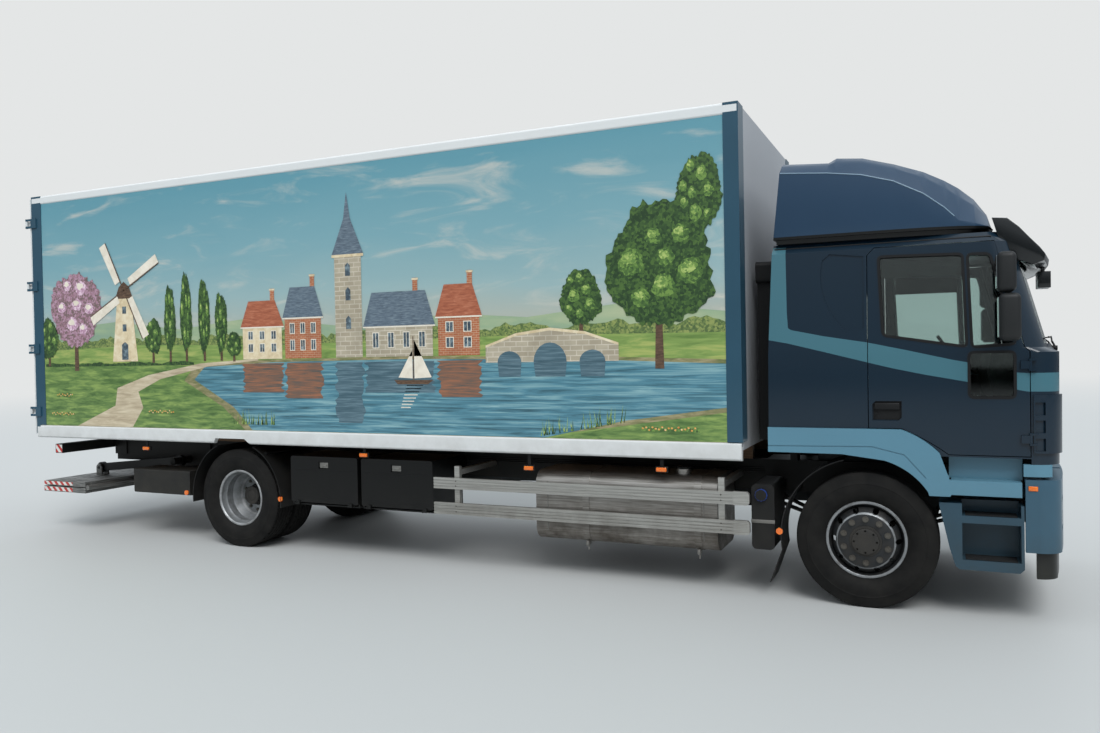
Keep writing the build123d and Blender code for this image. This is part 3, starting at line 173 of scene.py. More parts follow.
def painted(name, code, roughness=0.42, film="#4a463e", low=0.1, high=1.4, amount=0.45, coat=0.0,
            mottle=0.12, metallic=0.0, peel=260.0, peel_depth=0.0002):
    """Painted or moulded surface: slight mottling, fine skin and road film towards the ground."""
    material, tree, shader, place = blank(name)
    deep, pale = ([min(1.0, part * (1 + shift)) for part in linear(code)[:3]] + [1.0]
                  for shift in (-mottle, mottle))
    cloud = add(tree, "TexNoise", {"Vector": place, "Scale": 2.3, "Detail": 5.0})
    colour = add(tree, "Mix", {"Factor": cloud, 6: deep, 7: pale}, data_type="RGBA")
    colour, share = dusty(tree, place, colour, film, low, high, amount)
    skin = add(tree, "TexNoise", {"Vector": place, "Scale": peel, "Detail": 2.0})
    feed(tree, shader, {
        "Base Color": colour, "Metallic": metallic, "Specular IOR Level": paint_gloss, "Coat Weight": coat,
        "Roughness": add(tree, "MapRange", {"Value": share, "To Min": roughness, "To Max": dust_roughness}),
        "Coat Roughness": 0.08,
        "Normal": add(tree, "Bump", {"Height": skin, "Strength": 0.35, "Distance": peel_depth})})
    return material


chassis_paint = painted("chassis_paint_on_pressed_steel", "#121415", 0.5, amount=0.4)
cast_iron = painted("cast_iron_bare", "#1e1c1a", 0.62, film="#403931", amount=0.5, peel=90, peel_depth=0.001)
machine_grey = painted("grey_engine_enamel", "#33383b", 0.5, amount=0.3)
dress(chassis_paint, "frame", "suspension", "lift_frame", "rear_axle", "underrun_beam")
dress(cast_iron, "front_axle", "knuckle_left", "knuckle_right", "tie_rod")
dress(machine_grey, "engine", "driveline")


# Tyres
# Road tyres 1044 mm across with five straight grooves round the tread, worn dull, and a dusty side
# wall with a scuff rib. Each stands for its plain CAD tyre.
def lathe(section, centre, steps=96):
    """Closed ring spun about a wheel's axle from a section of (offset outwards, radius)."""
    side = 1 if centre.y > 0 else -1
    bm = bmesh.new()
    points = [bm.verts.new((centre.x, centre.y + side * offset, centre.z + radius))
              for offset, radius in section]
    ring = [bm.edges.new(pair) for pair in zip(points, points[1:] + points[:1])]
    bmesh.ops.spin(bm, geom=points + ring, cent=centre, axis=(0, 1, 0), angle=2 * pi, steps=steps,
                   use_merge=True)
    return bm


seam_gap = 0.00002


def finished(name, bm, body, material, slot_name, *stands_for, sharp=32):
    """Makes a piece of a bmesh: seams merged, faces outwards, smooth but for its sharp edges."""
    bmesh.ops.remove_doubles(bm, verts=bm.verts, dist=seam_gap)
    bmesh.ops.recalc_face_normals(bm, faces=bm.faces)
    data = bpy.data.meshes.new(name)
    bm.to_mesh(data)
    bm.free()
    data.materials.append(material)
    data.polygons.foreach_set("use_smooth", [True] * len(data.polygons))
    data.set_sharp_from_angle(angle=radians(sharp))
    piece = bpy.data.objects.new(name, data)
    scene.collection.objects.link(piece)
    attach(piece, body)
    if stands_for:
        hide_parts(*stands_for)
    return piece


SIDES = ((-1, "right"), (1, "left"))
axle = 4.0325
rear_axle = axle - 6.3
axle_height = 0.522
tread_half, tread_radius, tread_crown = 0.126, 0.522, 0.0025
groove_depth, groove_half, groove_foot = 0.013, 0.0055, 0.6
GROOVES = (-0.088, -0.044, 0.0, 0.044, 0.088)
WALL = ((0.099, 0.2865), (0.107, 0.300), (0.118, 0.312), (0.131, 0.330), (0.141, 0.352), (0.1485, 0.385),
        (0.149, 0.400), (0.1475, 0.425), (0.1465, 0.432), (0.1485, 0.437), (0.1455, 0.442), (0.1405, 0.462),
        (0.1345, 0.484), (0.1290, 0.503), (0.1255, 0.513), (0.119, 0.5195))
shoulder, sipe_edge, sipe_depth = 0.105, 0.004, 0.009
front_tyre_y = 1.041
REAR_TYRES = (("inner", 0.734), ("outer", 1.054))

rubber, tree, shader, place = blank("tyre_rubber_moulded")
cloud = add(tree, "TexNoise", {"Vector": place, "Scale": 7.0, "Detail": 8.0, "Roughness": 0.6})
tone = add(tree, "ValToRGB", {0: cloud})
for stop, position, code in zip(tone.color_ramp.elements, (0.3, 0.75), ("#0c0c0c", "#1d1c1a")):
    stop.position, stop.color = position, linear(code)
grain = add(tree, "TexNoise", {"Vector": place, "Scale": 320.0, "Detail": 2.0})
feed(tree, shader, {"Base Color": tone, "Roughness": 0.78, "Specular IOR Level": 0.2,
                    "Normal": add(tree, "Bump", {"Height": grain, "Strength": 0.25, "Distance": 0.0006})})


def tyre_section():
    """Half section mirrored: bead, bulged wall with a scuff rib, shoulder and grooved tread."""
    tread = []
    for groove in GROOVES:
        edge = tread_radius - (groove / tread_half) ** 2 * tread_crown
        tread += [(groove - groove_half, edge), (groove - groove_half * groove_foot, edge - groove_depth),
                  (groove + groove_half * groove_foot, edge - groove_depth), (groove + groove_half, edge)]
    return [(-offset, radius) for offset, radius in WALL] + tread + list(WALL[::-1])


def sipes(bm, centre):
    """Notches cut round both shoulders of the tread."""
    outer = []
    for face in bm.faces:
        place = face.calc_center_median() - centre
        if abs(abs(place.y) - shoulder) < 0.012 and place.length > 0.5:
            outer.append((place.y > 0, atan2(place.z, place.x), face))
    outer.sort(key=lambda entry: entry[:2])
    cut = [face for _, _, face in outer[::3]]
    bmesh.ops.inset_individual(bm, faces=cut, thickness=sipe_edge, use_even_offset=True)
    for face in cut:
        place = face.calc_center_median()
        inward = Vector((centre.x - place.x, 0, centre.z - place.z)).normalized()
        bmesh.ops.translate(bm, verts=face.verts, vec=inward * sipe_depth)


def tyre(name, body, node, side, x, y):
    """Detailed tyre at one side of an axle."""
    centre = Vector((x, side * y, axle_height))
    bm = lathe(tyre_section(), centre, 120)
    sipes(bm, centre)
    finished(name, bm, body, rubber, "tyre_rubber", node, sharp=38)


for side, hand in SIDES:
    tyre(f"front_road_tyre_{hand}", f"front_wheel_{hand}", f"front_tyre_{hand}", side, axle, front_tyre_y)
    for row, y in REAR_TYRES:
        tyre(f"rear_road_tyre_{row}_{hand}", f"rear_wheels_{hand}", f"rear_tyres_{hand}", side, rear_axle, y)


# Wheels
# Steel disc wheels with ten hand holes and ten nuts on a 335 mm circle. The front ones are dark
# with a bare bright flange and ring, the rear ones silver round a deep dish.
rim_far, rim_near = -0.275, -0.045
RIM = ((0, 0.120), (0, 0.200), (-0.003, 0.207), (-0.040, 0.238), (-0.090, 0.257), (rim_near - 0.012, 0.268),
       (rim_near - 0.003, 0.277), (rim_near, 0.284), (rim_near, 0.294), (rim_near - 0.004, 0.298),
       (rim_near - 0.012, 0.298), (rim_near - 0.015, 0.286), (rim_near - 0.045, 0.284),
       (rim_near - 0.065, 0.270), (rim_far + 0.075, 0.270), (rim_far + 0.050, 0.284), (rim_far + 0.015, 0.286),
       (rim_far + 0.012, 0.298), (rim_far + 0.003, 0.298), (rim_far, 0.294), (rim_far, 0.282),
       (rim_far + 0.009, 0.272), (rim_far + 0.055, 0.270), (rim_far + 0.075, 0.257), (-0.115, 0.257),
       (-0.105, 0.250), (-0.052, 0.226), (-0.012, 0.198), (-0.012, 0.120))
hand_hole_circle, hand_hole_radius = 0.234, 0.023
nut_circle, bolt_circle, hub_radius = 0.1675, 0.083, 0.100
ramp_reach = 0.32


def wheel_steel(name, centre, face_code, ring_code):
    """Painted wheel steel, bare at its flange and at the ring round the disc, by radius."""
    material, tree, shader, place = blank(name)
    around = add(tree, "VectorMath", {0: place, 1: centre}, operation="SUBTRACT")
    flat = add(tree, "VectorMath", {0: around, 1: (1, 0, 1)}, operation="MULTIPLY")
    radius = add(tree, "VectorMath", {0: flat}, operation="LENGTH")
    bands = add(tree, "ValToRGB", {0: add(tree, "MapRange", {"Value": radius, "From Max": ramp_reach})})
    ramp = bands.color_ramp
    ramp.interpolation = "CONSTANT"
    ramp.elements[0].color = linear(face_code)
    ramp.elements[1].position, ramp.elements[1].color = 0.276 / ramp_reach, linear(ring_code)
    for radius, code in ((0.205, ring_code), (0.217, face_code)):
        ramp.elements.new(radius / ramp_reach).color = linear(code)
    cloud = add(tree, "TexNoise", {"Vector": place, "Scale": 11.0, "Detail": 7.0, "Roughness": 0.65})
    grime = add(tree, "MapRange", {"Value": cloud, "From Min": 0.42, "From Max": 0.72, "To Max": 0.6})
    feed(tree, shader, {
        "Base Color": add(tree, "Mix", {"Factor": grime, 6: bands, 7: linear("#3a3631")}, data_type="RGBA"),
        "Roughness": add(tree, "MapRange", {"Value": grime, "To Min": 0.38, "To Max": 0.8}),
        "Metallic": 0.55})
    return material


def rod(bm, start, end, radius, segments=16, tip=None):
    """Round rod, or a cone where it has a tip radius, between two points."""
    start, end = Vector(start), Vector(end)
    turn = (end - start).to_track_quat("Z", "Y").to_matrix().to_4x4()
    return bmesh.ops.create_cone(bm, cap_ends=True, segments=segments, radius1=radius,
                                 radius2=radius if tip is None else tip, depth=(end - start).length,
                                 matrix=Matrix.Translation((start + end) / 2) @ turn)["verts"]


def on_circle(centre, radius, turn):
    """Point on a circle about a wheel's axle."""
    return Vector((centre.x + radius * cos(turn), centre.y, centre.z + radius * sin(turn)))


def pierced(wheel, centre):
    """Cuts the hand holes out of a wheel and keeps the result as its mesh."""
    bm = bmesh.new()
    out = Vector((0, 1 if centre.y > 0 else -1, 0))
    for index in range(10):
        at = on_circle(centre, hand_hole_circle, radians(36 * index))
        rod(bm, at - out * 0.12, at + out * 0.03, hand_hole_radius, 20)
    data = bpy.data.meshes.new("cutter")
    bm.to_mesh(data)
    bm.free()
    cutter = bpy.data.objects.new("cutter", data)
    scene.collection.objects.link(cutter)
    step = wheel.modifiers.new("cut", "BOOLEAN")
    step.object, step.solver = cutter, "EXACT"
    bpy.context.view_layer.update()
    result = bpy.data.meshes.new_from_object(wheel.evaluated_get(bpy.context.evaluated_depsgraph_get()))
    wheel.modifiers.clear()
    wheel.data = result
    bpy.data.objects.remove(cutter)


nut_steel = painted("zinc_plated_wheel_nut", "#6d6a64", 0.4, film="#3a352f", amount=0.5, metallic=0.8)
hub_iron = painted("hub_casting_painted", "#1c1e1f", 0.45, film="#46413a", amount=0.5)

# end, body, rim node, axle's place, disc's face across the truck; the hub's foot, cap and nose from that
# face, and how far out it may stand; paint and bare ring
WHEELS = (("front", "front_wheel", "front_rim", axle, 1.201, -0.205, 0.036, 0.058, 0.033, "#2c2e30",
           "#8d9092"),
          ("rear", "rear_wheels", "rear_rims", rear_axle, 0.894, -0.25, 0.112, 0.120, 1.0, "#8b8e90",
           "#a3a5a6"))
for side, hand in SIDES:
    for end, group, rims, x, face_y, back, cap, nose, limit, face_code, ring_code in WHEELS:
        centre = Vector((x, side * face_y, axle_height))
        out = Vector((0, side, 0))
        body, node = f"{group}_{hand}", f"{rims}_{hand}"
        steel = wheel_steel(f"{end}_wheel_steel_{hand}", centre, face_code, ring_code)
        discs = [(f"{end}_wheel_{hand}", RIM)]
        if end == "rear":
            discs.append((f"rear_outer_wheel_{hand}", [(-offset, radius) for offset, radius in RIM]))
        for name, section in discs:
            pierced(finished(name, lathe(section, centre, 80), body, steel, "wheel_paint", node), centre)
        section = ((back, 0.045), (back, 0.205), (back + 0.045, 0.205), (back + 0.05, 0.135), (-0.034, 0.135),
                   (-0.034, 0.188), (-0.0125, 0.188), (-0.0125, 0.1185), (0.004, 0.1185), (0.006, hub_radius),
                   (cap - 0.006, hub_radius - 0.002), (cap, hub_radius - 0.010), (cap, 0.062),
                   (nose - 0.004, 0.056), (nose, 0.048), (nose, 0.0005), (back + 0.06, 0.0005),
                   (back + 0.06, 0.045))
        section = [(min(offset, limit), radius) for offset, radius in section]
        finished(f"{end}_hub_{hand}", lathe(section, centre, 64), body, hub_iron, "forged", node)
        bm = bmesh.new()
        for index in range(10):
            at = on_circle(centre, nut_circle, radians(36 * index + 18))
            rod(bm, at, at + out * 0.004, 0.024, 20)
            rod(bm, at + out * 0.003, at + out * 0.026, 0.0185, 6)
            rod(bm, at + out * 0.024, at + out * 0.032, 0.0105, 12, tip=0.009)
        for index in range(8):
            at = on_circle(centre, bolt_circle, radians(45 * index)) + out * min(cap, 0.027)
            rod(bm, at - out * 0.01, at + out * 0.006, 0.008, 6)
        finished(f"{end}_wheel_nuts_{hand}", bm, body, nut_steel, "forged")


# Springs, bellows and axle fittings
# Forged U-bolts clamp each leaf spring to its axle, rubber air bellows with moulded folds stand on
# the rear arms, and nylon air lines follow the rails.
def brick(bm, corner, opposite, bevel=0.0, segments=2):
    """Block between two corners, with its edges bevelled."""
    low, high = Vector(map(min, corner, opposite)), Vector(map(max, corner, opposite))
    verts = bmesh.ops.create_cube(bm, size=1, matrix=Matrix.Translation((low + high) / 2)
                                  @ Matrix.Diagonal((*(high - low), 1)))["verts"]
    if bevel:
        edges = list({edge for vert in verts for edge in vert.link_edges})
        bmesh.ops.bevel(bm, geom=edges, offset=bevel, affect="EDGES", segments=segments, profile=0.5,
                        material=-1)


spring_y = 0.3925
bolts = bmesh.new()
folds = bmesh.new()
for side, hand in SIDES:
    y = side * spring_y
    for x in (axle - 0.070, axle + 0.070):
        for at in (y - 0.046, y + 0.046):
            rod(bolts, (x, at, 0.395), (x, at, 0.592), 0.009, 10)
            rod(bolts, (x, at, 0.400), (x, at, 0.414), 0.015, 6)
        rod(bolts, (x, y - 0.046, 0.588), (x, y + 0.046, 0.588), 0.009, 10)
    for x in (rear_axle - 0.06, rear_axle + 0.07):
        for at in (y - 0.045, y + 0.045):
            rod(bolts, (x, at, 0.43), (x, at, 0.69), 0.010, 10)
            rod(bolts, (x, at, 0.665), (x, at, 0.682), 0.017, 6)
        brick(bolts, (x - 0.02, y - 0.06, 0.425), (x + 0.02, y + 0.06, 0.442), 0.004)
    for z in (0.60, 0.645, 0.69):
        centre = Vector((rear_axle - 0.48, y, z))
        upright = Matrix.Translation(centre + Vector((0.104, 0, 0))) @ Matrix.Rotation(pi / 2, 4, "X")
        ring = bmesh.ops.create_circle(folds, radius=0.016, segments=10, matrix=upright)["verts"]
        edges = [edge for edge in folds.edges if all(vert in ring for vert in edge.verts)]
        bmesh.ops.spin(folds, geom=ring + edges, cent=centre, axis=(0, 0, 1), angle=2 * pi, steps=36,
                       use_merge=True)
finished("spring_u_bolts", bolts, "chassis", cast_iron, "forged")
finished("air_bellows_folds", folds, "chassis", rubber, "black_plastic")

nylon = painted("nylon_air_line", "#16181a", 0.5, amount=0.4)
line_y, line_radius, line_pitch = 0.4385, 0.006, 0.018
bm = bmesh.new()
for y, top in ((-line_y, 0.955), (line_y, 0.935)):
    for lane in range(3):
        z = top - lane * line_pitch
        bends = [(axle - 0.90, y, z), (rear_axle + 0.9, y, z), (rear_axle + 0.5, y, z - 0.05),
                 (rear_axle - 1.1, y, z - 0.05)]
        for start, finish in zip(bends, bends[1:]):
            rod(bm, start, finish, line_radius, 6)
        for bend in bends[1:-1]:
            bmesh.ops.create_icosphere(bm, subdivisions=1, radius=line_radius * 1.02,
                                       matrix=Matrix.Translation(bend))
finished("air_lines_on_rails", bm, "chassis", nylon, "chassis")


# Tanks and boxes beside the frame
# The fuel tank is welded from aluminium sheet, dulled and streaked by the road, under two steel
# straps. The additive tank, batteries and tool boxes are black moulded plastic and painted steel.
def grained(name, codes, stretch, noise, look, ends=(0.3, 0.7), dust=None, relief=None, leaves=0.0):
    """Surface whose figure, stretched along its grain, wanders through tones, or in leaves to a metre.

    The dust is its tone, its lower and upper height, its share, and the roughness clean and dusty.
    The relief is the figure's strength and depth.
    """
    material, tree, shader, place = blank(name)
    drawn = add(tree, "Mapping", {"Vector": place, "Scale": stretch})
    figure = add(tree, "TexNoise", {"Vector": drawn, **noise})
    if leaves:
        cells = add(tree, "TexVoronoi", {"Vector": drawn, "Scale": leaves}).outputs["Color"]
        leaf = add(tree, "SeparateXYZ", {0: cells}).outputs["X"]
        figure = add(tree, "Mix", {"Factor": 0.45, "A": figure, "B": leaf})
    colour = add(tree, "ValToRGB", {0: figure})
    ramp, (low, high) = colour.color_ramp, ends
    ramp.elements[0].position, ramp.elements[0].color = low, linear(codes[0])
    ramp.elements[1].position, ramp.elements[1].color = high, linear(codes[-1])
    for index, code in enumerate(codes[1:-1]):
        ramp.elements.new(low + (high - low) * (index + 1) / (len(codes) - 1)).color = linear(code)
    if dust:
        colour, share = dusty(tree, place, colour, *dust[:4])
        look["Roughness"] = add(tree, "MapRange", {"Value": share, "To Min": dust[4], "To Max": dust[5]})
    if relief:
        look["Normal"] = add(tree, "Bump", {"Height": figure, "Strength": relief[0], "Distance": relief[1]})
    feed(tree, shader, {"Base Color": colour, **look})
    return material


dress(grained("aluminium_sheet_welded", ("#77736d", "#aaa7a2"), (1.2, 30.0, 26.0),
              {"Scale": 3.0, "Detail": 6.0}, {"Metallic": 0.85},
              dust=("#4c443c", 0.25, 1.0, 0.75, 0.34, 0.75), relief=(0.12, 0.002)), "fuel_tank")
black_plastic = painted("black_moulded_plastic", "#0e0f10", 0.5, film="#33302b", amount=0.35, peel=420,
                        peel_depth=0.0004)
black_enamel = painted("black_box_enamel", "#070808", 0.34, film="#2a2825", amount=0.3, high=1.0)
steel_strap = painted("galvanised_steel_strap", "#8a8985", 0.42, film="#4c443c", metallic=0.8, amount=0.4)
blue_cap = painted("blue_moulded_cap", "#1d3f8f", 0.4, amount=0.2)
dress(black_plastic, "additive_tank", "battery_box", "mudguards", "air_intake")
dress(black_enamel, "toolboxes", "toolbox_door_rear", "toolbox_door_front")

tank_low, tank_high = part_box("fuel_tank")
bm = bmesh.new()
for share in (0.07, 0.93):
    x = tank_low.x + share * (tank_high.x - tank_low.x)
    brick(bm, (x - 0.004, tank_low.y + 0.002, 0.42), (x + 0.004, tank_low.y + 0.012, 0.86), 0.002)
for x in (tank_low.x + 0.483, tank_high.x - 0.167):
    brick(bm, (x - 0.012, -1.150, 0.300), (x + 0.012, -1.075, 0.345), 0.006)
    rod(bm, (x, -1.1125, 0.262), (x, -1.1125, 0.315), 0.008, 8)
finished("tank_strap_bolts", bm, "chassis", steel_strap, "brushed_tank")

bm = bmesh.new()
cap_foot = Vector((tank_high.x - 0.330, -0.976, 0.995))
up = Vector((0, 0, 1))
rod(bm, cap_foot, cap_foot + up * 0.020, 0.055, 28, tip=0.050)
for index in range(14):
    turn = 2 * pi * index / 14
    edge = cap_foot + Vector((0.054 * cos(turn), 0.054 * sin(turn), 0))
    rod(bm, edge, edge + up * 0.016, 0.004, 6)
finished("fuel_filler_cap", bm, "chassis", black_plastic, "black_plastic")

additive_low, additive_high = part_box("additive_tank")
bm = bmesh.new()
cap_foot = Vector((additive_high.x - 0.100, additive_low.y, 0.830))
inwards = Vector((0, 1, 0))
rod(bm, cap_foot + inwards * 0.001, cap_foot + inwards * 0.03, 0.047, 24)
for index in range(12):
    edge = on_circle(cap_foot, 0.046, 2 * pi * index / 12)
    rod(bm, edge + inwards * 0.002, edge + inwards * 0.026, 0.004, 6)
finished("additive_filler_cap", bm, "chassis", blue_cap, "black_plastic")
bm = bmesh.new()
brick(bm, (additive_low.x - 0.003, -1.1525, 0.600), (additive_high.x + 0.003, -1.149, 0.628), 0.001)
finished("additive_tank_strap", bm, "chassis", steel_strap, "brushed_tank")

for row in ("rear", "front"):
    lid_low, lid_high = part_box(f"toolbox_door_{row}")
    middle = (lid_low.x + lid_high.x) / 2
    bm = bmesh.new()
    brick(bm, (middle - 0.052, -1.1975, 0.888), (middle + 0.052, -1.1935, 0.942), 0.0015)
    brick(bm, (middle - 0.034, -1.2055, 0.905), (middle + 0.034, -1.1965, 0.925), 0.004)
    rod(bm, (middle + 0.040, -1.2, 0.915), (middle + 0.040, -1.1965, 0.915), 0.008, 12)
    finished(f"toolbox_latch_{row}", bm, f"toolbox_lid_{row}", steel_strap, "black_paint")
    bm = bmesh.new()
    for z in (0.575, 0.860):
        brick(bm, (lid_low.x + 0.045, -1.2065, z), (lid_high.x - 0.045, -1.2045, z + 0.004), 0.0005, 1)
    finished(f"toolbox_lid_swage_{row}", bm, f"toolbox_lid_{row}", black_enamel, "black_paint")


# Side guards
# Two extruded aluminium rails a side with ribbed faces, mill finish gone dull, on painted posts,
# with grey moulded caps at the front ends.
dress(grained("extruded_aluminium_mill_finish", ("#9a9994", "#c6c5c0"), (0.8, 60.0, 60.0),
              {"Scale": 4.0, "Detail": 5.0}, {"Metallic": 0.8},
              dust=("#5f594f", 0.35, 1.05, 0.45, 0.36, 0.7)), "side_guards")
bm = bmesh.new()
for side, hand in SIDES:
    for x in (axle - 3.606, axle - 1.110):
        for z in (0.780, 0.824, 0.538, 0.592):
            rod(bm, (x, side * 1.2145, z), (x, side * 1.2225, z), 0.008, 12, tip=0.006)
finished("guard_rail_bolts", bm, "chassis", nut_steel, "guard_alloy")


# Box body
# Plywood-cored panels with a painted skin between aluminium rails, on a timber floor. The corner
# posts are petrol blue, the rails white with rain streaks below their lower edge.
rain_film = "#6d675c"
dress(painted("white_powder_coated_rail", "#d5d8d8", 0.4, rain_film, 0.9, 1.5, 0.35, mottle=0.04),
      "box_rails", "box_roof")
dress(painted("petrol_blue_post_paint", "#284a5c", 0.35, amount=0.3, coat=0.3), "box_posts")
dress(painted("white_door_skin", "#ced2d3", 0.38, rain_film, 0.9, 2.6, 0.3, coat=0.2, mottle=0.03),
      "rear_door_left", "rear_door_right")
dress(painted("grey_panel_skin", "#a9adb2", 0.45, rain_film, 0.9, 3.0, 0.3, mottle=0.04), "box_bulkhead")
dress(grained("birch_plywood_floor_worn", ("#5a4230", "#8d6d4c"), (0.6, 9.0, 9.0),
              {"Scale": 3.0, "Detail": 8.0, "Distortion": 1.2}, {"Roughness": 0.6}, relief=(0.15, 0.001)),
      "box_floor")


# Painted picture on the box sides
# Airbrushed enamel on the panel's skin: sky over a village green with a lake, in the maker's own
# layout. The sky is on the panel, and each motif is a flat film of paint in front of it. Inside,
# the panels are bare plywood.
wall_low, wall_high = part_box("box_sides")
picture_back, picture_front = axle - 9.210, axle - 1.035
picture_bottom, picture_top = 1.26, 3.885
end = picture_front - picture_back
film_step, first_film = 0.0005, 0.0001
skin_depth = 0.004
horizon = 2.12

sky_paint, tree, shader, place = blank("airbrushed_sky_enamel")
parts = add(tree, "SeparateXYZ", {0: place}).outputs
wide = add(tree, "Mapping", {"Vector": place, "Scale": (0.35, 1.0, 1.5)})
drift = add(tree, "TexNoise", {"Vector": wide, "Scale": 1.6, "Detail": 7.0, "Roughness": 0.55,
                               "Distortion": 0.6})
waver = add(tree, "Math", {0: drift, 1: 0.35}, operation="MULTIPLY")
lifted = add(tree, "Math", {0: parts["Z"], 1: waver}, operation="ADD")
level = add(tree, "MapRange", {"Value": lifted, "From Min": horizon + 0.1, "From Max": picture_top + 0.15})
fade = add(tree, "ValToRGB", {0: level})
fade.color_ramp.elements[0].color = linear("#b9b39d")
fade.color_ramp.elements[1].color = linear("#5b93a2")
for position, code in ((0.14, "#aab0a5"), (0.32, "#93afb1"), (0.62, "#76a2ac")):
    fade.color_ramp.elements.new(position).color = linear(code)
cloud = add(tree, "TexNoise", {"Vector": wide, "Scale": 2.6, "Detail": 9.0, "Roughness": 0.58,
                               "Distortion": 0.9})
soft = add(tree, "MapRange", {"Value": cloud, "From Min": 0.52, "From Max": 0.78, "To Max": 0.6},
           interpolation_type="SMOOTHSTEP")
clouds = add(tree, "Mix", {"Factor": soft, 6: fade, 7: linear("#d9cfc0")}, data_type="RGBA")
figure = add(tree, "Mapping", {"Vector": place, "Scale": (0.6, 1.0, 9.0)})
veneer = add(tree, "TexNoise", {"Vector": figure, "Scale": 4.0, "Detail": 6.0})
plywood = add(tree, "Mix", {"Factor": veneer, 6: linear("#86704f"), 7: linear("#a8916d")}, data_type="RGBA")
spread = add(tree, "Math", {0: parts["Y"]}, operation="ABSOLUTE")
outside = add(tree, "Math", {0: spread, 1: wall_high.y - skin_depth}, operation="GREATER_THAN")
walls = add(tree, "Mix", {"Factor": outside, 6: plywood, 7: clouds}, data_type="RGBA")
feed(tree, shader, {"Base Color": walls, "Roughness": 0.34, "Coat Weight": 0.25, "Coat Roughness": 0.15})
dress(sky_paint, "box_sides")


def brushwork(name, codes, scale, stretch=(1, 1, 1), leaves=0.0):
    """Brushed enamel that wanders through a few tones in strokes, or in leaves of a count to a metre."""
    return grained(f"enamel_{name}", codes, stretch,
                   {"Scale": scale, "Detail": 6.0, "Roughness": 0.6, "Distortion": 0.5},
                   {"Roughness": 0.36, "Coat Weight": 0.2, "Coat Roughness": 0.15}, (0.32, 0.68),
                   leaves=leaves)


def courses(name, codes, mortar, size):
    """Painted brick or stone in courses of the given height, in metres."""
    material, tree, shader, place = blank(f"enamel_{name}")
    parts = add(tree, "SeparateXYZ", {0: place}).outputs
    flat = add(tree, "CombineXYZ", {0: parts["X"], 1: parts["Z"]})
    wall = add(tree, "TexBrick", {"Vector": flat, "Color1": linear(codes[0]), "Color2": linear(codes[1]),
                                  "Mortar": linear(mortar), "Scale": 1.0, "Mortar Size": size * 0.09,
                                  "Brick Width": size * 2.6, "Row Height": size, "Bias": -0.2})
    cloud = add(tree, "TexNoise", {"Vector": place, "Scale": 6.0, "Detail": 6.0})
    shade = add(tree, "MapRange", {"Value": cloud, "From Min": 0.3, "From Max": 0.7, "To Max": 0.5})
    aged = add(tree, "Mix", {"Factor": shade, 6: wall, 7: linear(codes[2])}, data_type="RGBA")
    feed(tree, shader, {"Base Color": aged, "Roughness": 0.36})
    return material


TUFTS = (0.5, 1, 3)
ENAMELS = {
    "far_hills": brushwork("far_hills", ("#7f9a86", "#93a988", "#a9b491"), 3.0, (0.4, 1, 1.6)),
    "far_wood": brushwork("far_wood", ("#4c6238", "#677c44", "#8a9656"), 16.0, leaves=60.0),
    "meadow": brushwork("meadow", ("#5c7a3b", "#7d9850", "#a3ad62"), 5.0, (0.5, 1, 4)),
    "lawn": brushwork("lawn", ("#3f5f2c", "#628043", "#8ba357"), 9.0, TUFTS),
    "lake": brushwork("lake", ("#2f5560", "#4d8192", "#86adb2"), 7.0, (0.22, 1, 5)),
    "shore": brushwork("shore", ("#5d6b3c", "#857f5a", "#a39a76"), 10.0, (0.6, 1, 3)),
    "path": brushwork("path", ("#a2937a", "#bcae93", "#cfc3a9"), 8.0, (0.4, 1, 3)),
    "brick": courses("brick", ("#a9623f", "#bb7650", "#8c5a43"), "#c3a88d", 0.021),
    "plaster": brushwork("plaster", ("#c4b08c", "#d8c8a6", "#e3d8bd"), 12.0),
    "stone": courses("stone", ("#a99f8a", "#bcb39e", "#857d6c"), "#d0c8b6", 0.045),
    "slate": brushwork("slate", ("#45525e", "#5d6d7b", "#76868f"), 26.0, TUFTS),
    "tile": brushwork("roof_tile", ("#8a4a35", "#a55f43", "#b8765a"), 24.0, TUFTS),
    "window": brushwork("window", ("#2c3842", "#43525c", "#7c8f96"), 20.0),
    "frame": brushwork("window_frame", ("#d8d1c0", "#e6e0d2"), 20.0),
    "timber": brushwork("timber", ("#3d2d21", "#584333", "#6d5643"), 18.0, (1, 1, 4)),
    "leaf_deep": brushwork("leaf_deep", ("#1f3a1c", "#304d26", "#48672f"), 12.0, leaves=48.0),
    "leaf_mid": brushwork("leaf_mid", ("#37562a", "#517335", "#6e8f44"), 12.0, leaves=52.0),
    "leaf_light": brushwork("leaf_light", ("#5f8240", "#84a251", "#a9bd6c"), 12.0, leaves=56.0),
    "bloom_deep": brushwork("bloom_deep", ("#6f5f5c", "#96727f", "#b28fa2"), 12.0, leaves=52.0),
    "blossom": brushwork("blossom", ("#a97f97", "#c8a4bb", "#e3cbd8"), 12.0, leaves=56.0),
    "flowers": brushwork("flowers", ("#b5483f", "#d9a13f", "#e6d9c0"), 60.0),
    "mirrored_brick": brushwork("reflected_brick", ("#3f4f50", "#7b5a48", "#a0694c"), 8.0, (0.5, 1, 9)),
    "mirrored_slate": brushwork("reflected_slate", ("#31505c", "#4b6672", "#6b8691"), 8.0, (0.4, 1, 9)),
    "sail": brushwork("sail", ("#d6cdbb", "#ece5d6"), 10.0),
}
motifs = {}


def film(tone, layer, *points):
    """Flat patch of paint: corners as (distance along the side, height), in metres."""
    bm = motifs.setdefault(tone, bmesh.new())
    bm.faces.new([bm.verts.new((s, -layer * film_step, z)) for s, z in points])


def panel(tone, layer, s0, z0, s1, z1):
    """Upright patch of paint between two corners."""
    film(tone, layer, (s0, z0), (s1, z0), (s1, z1), (s0, z1))


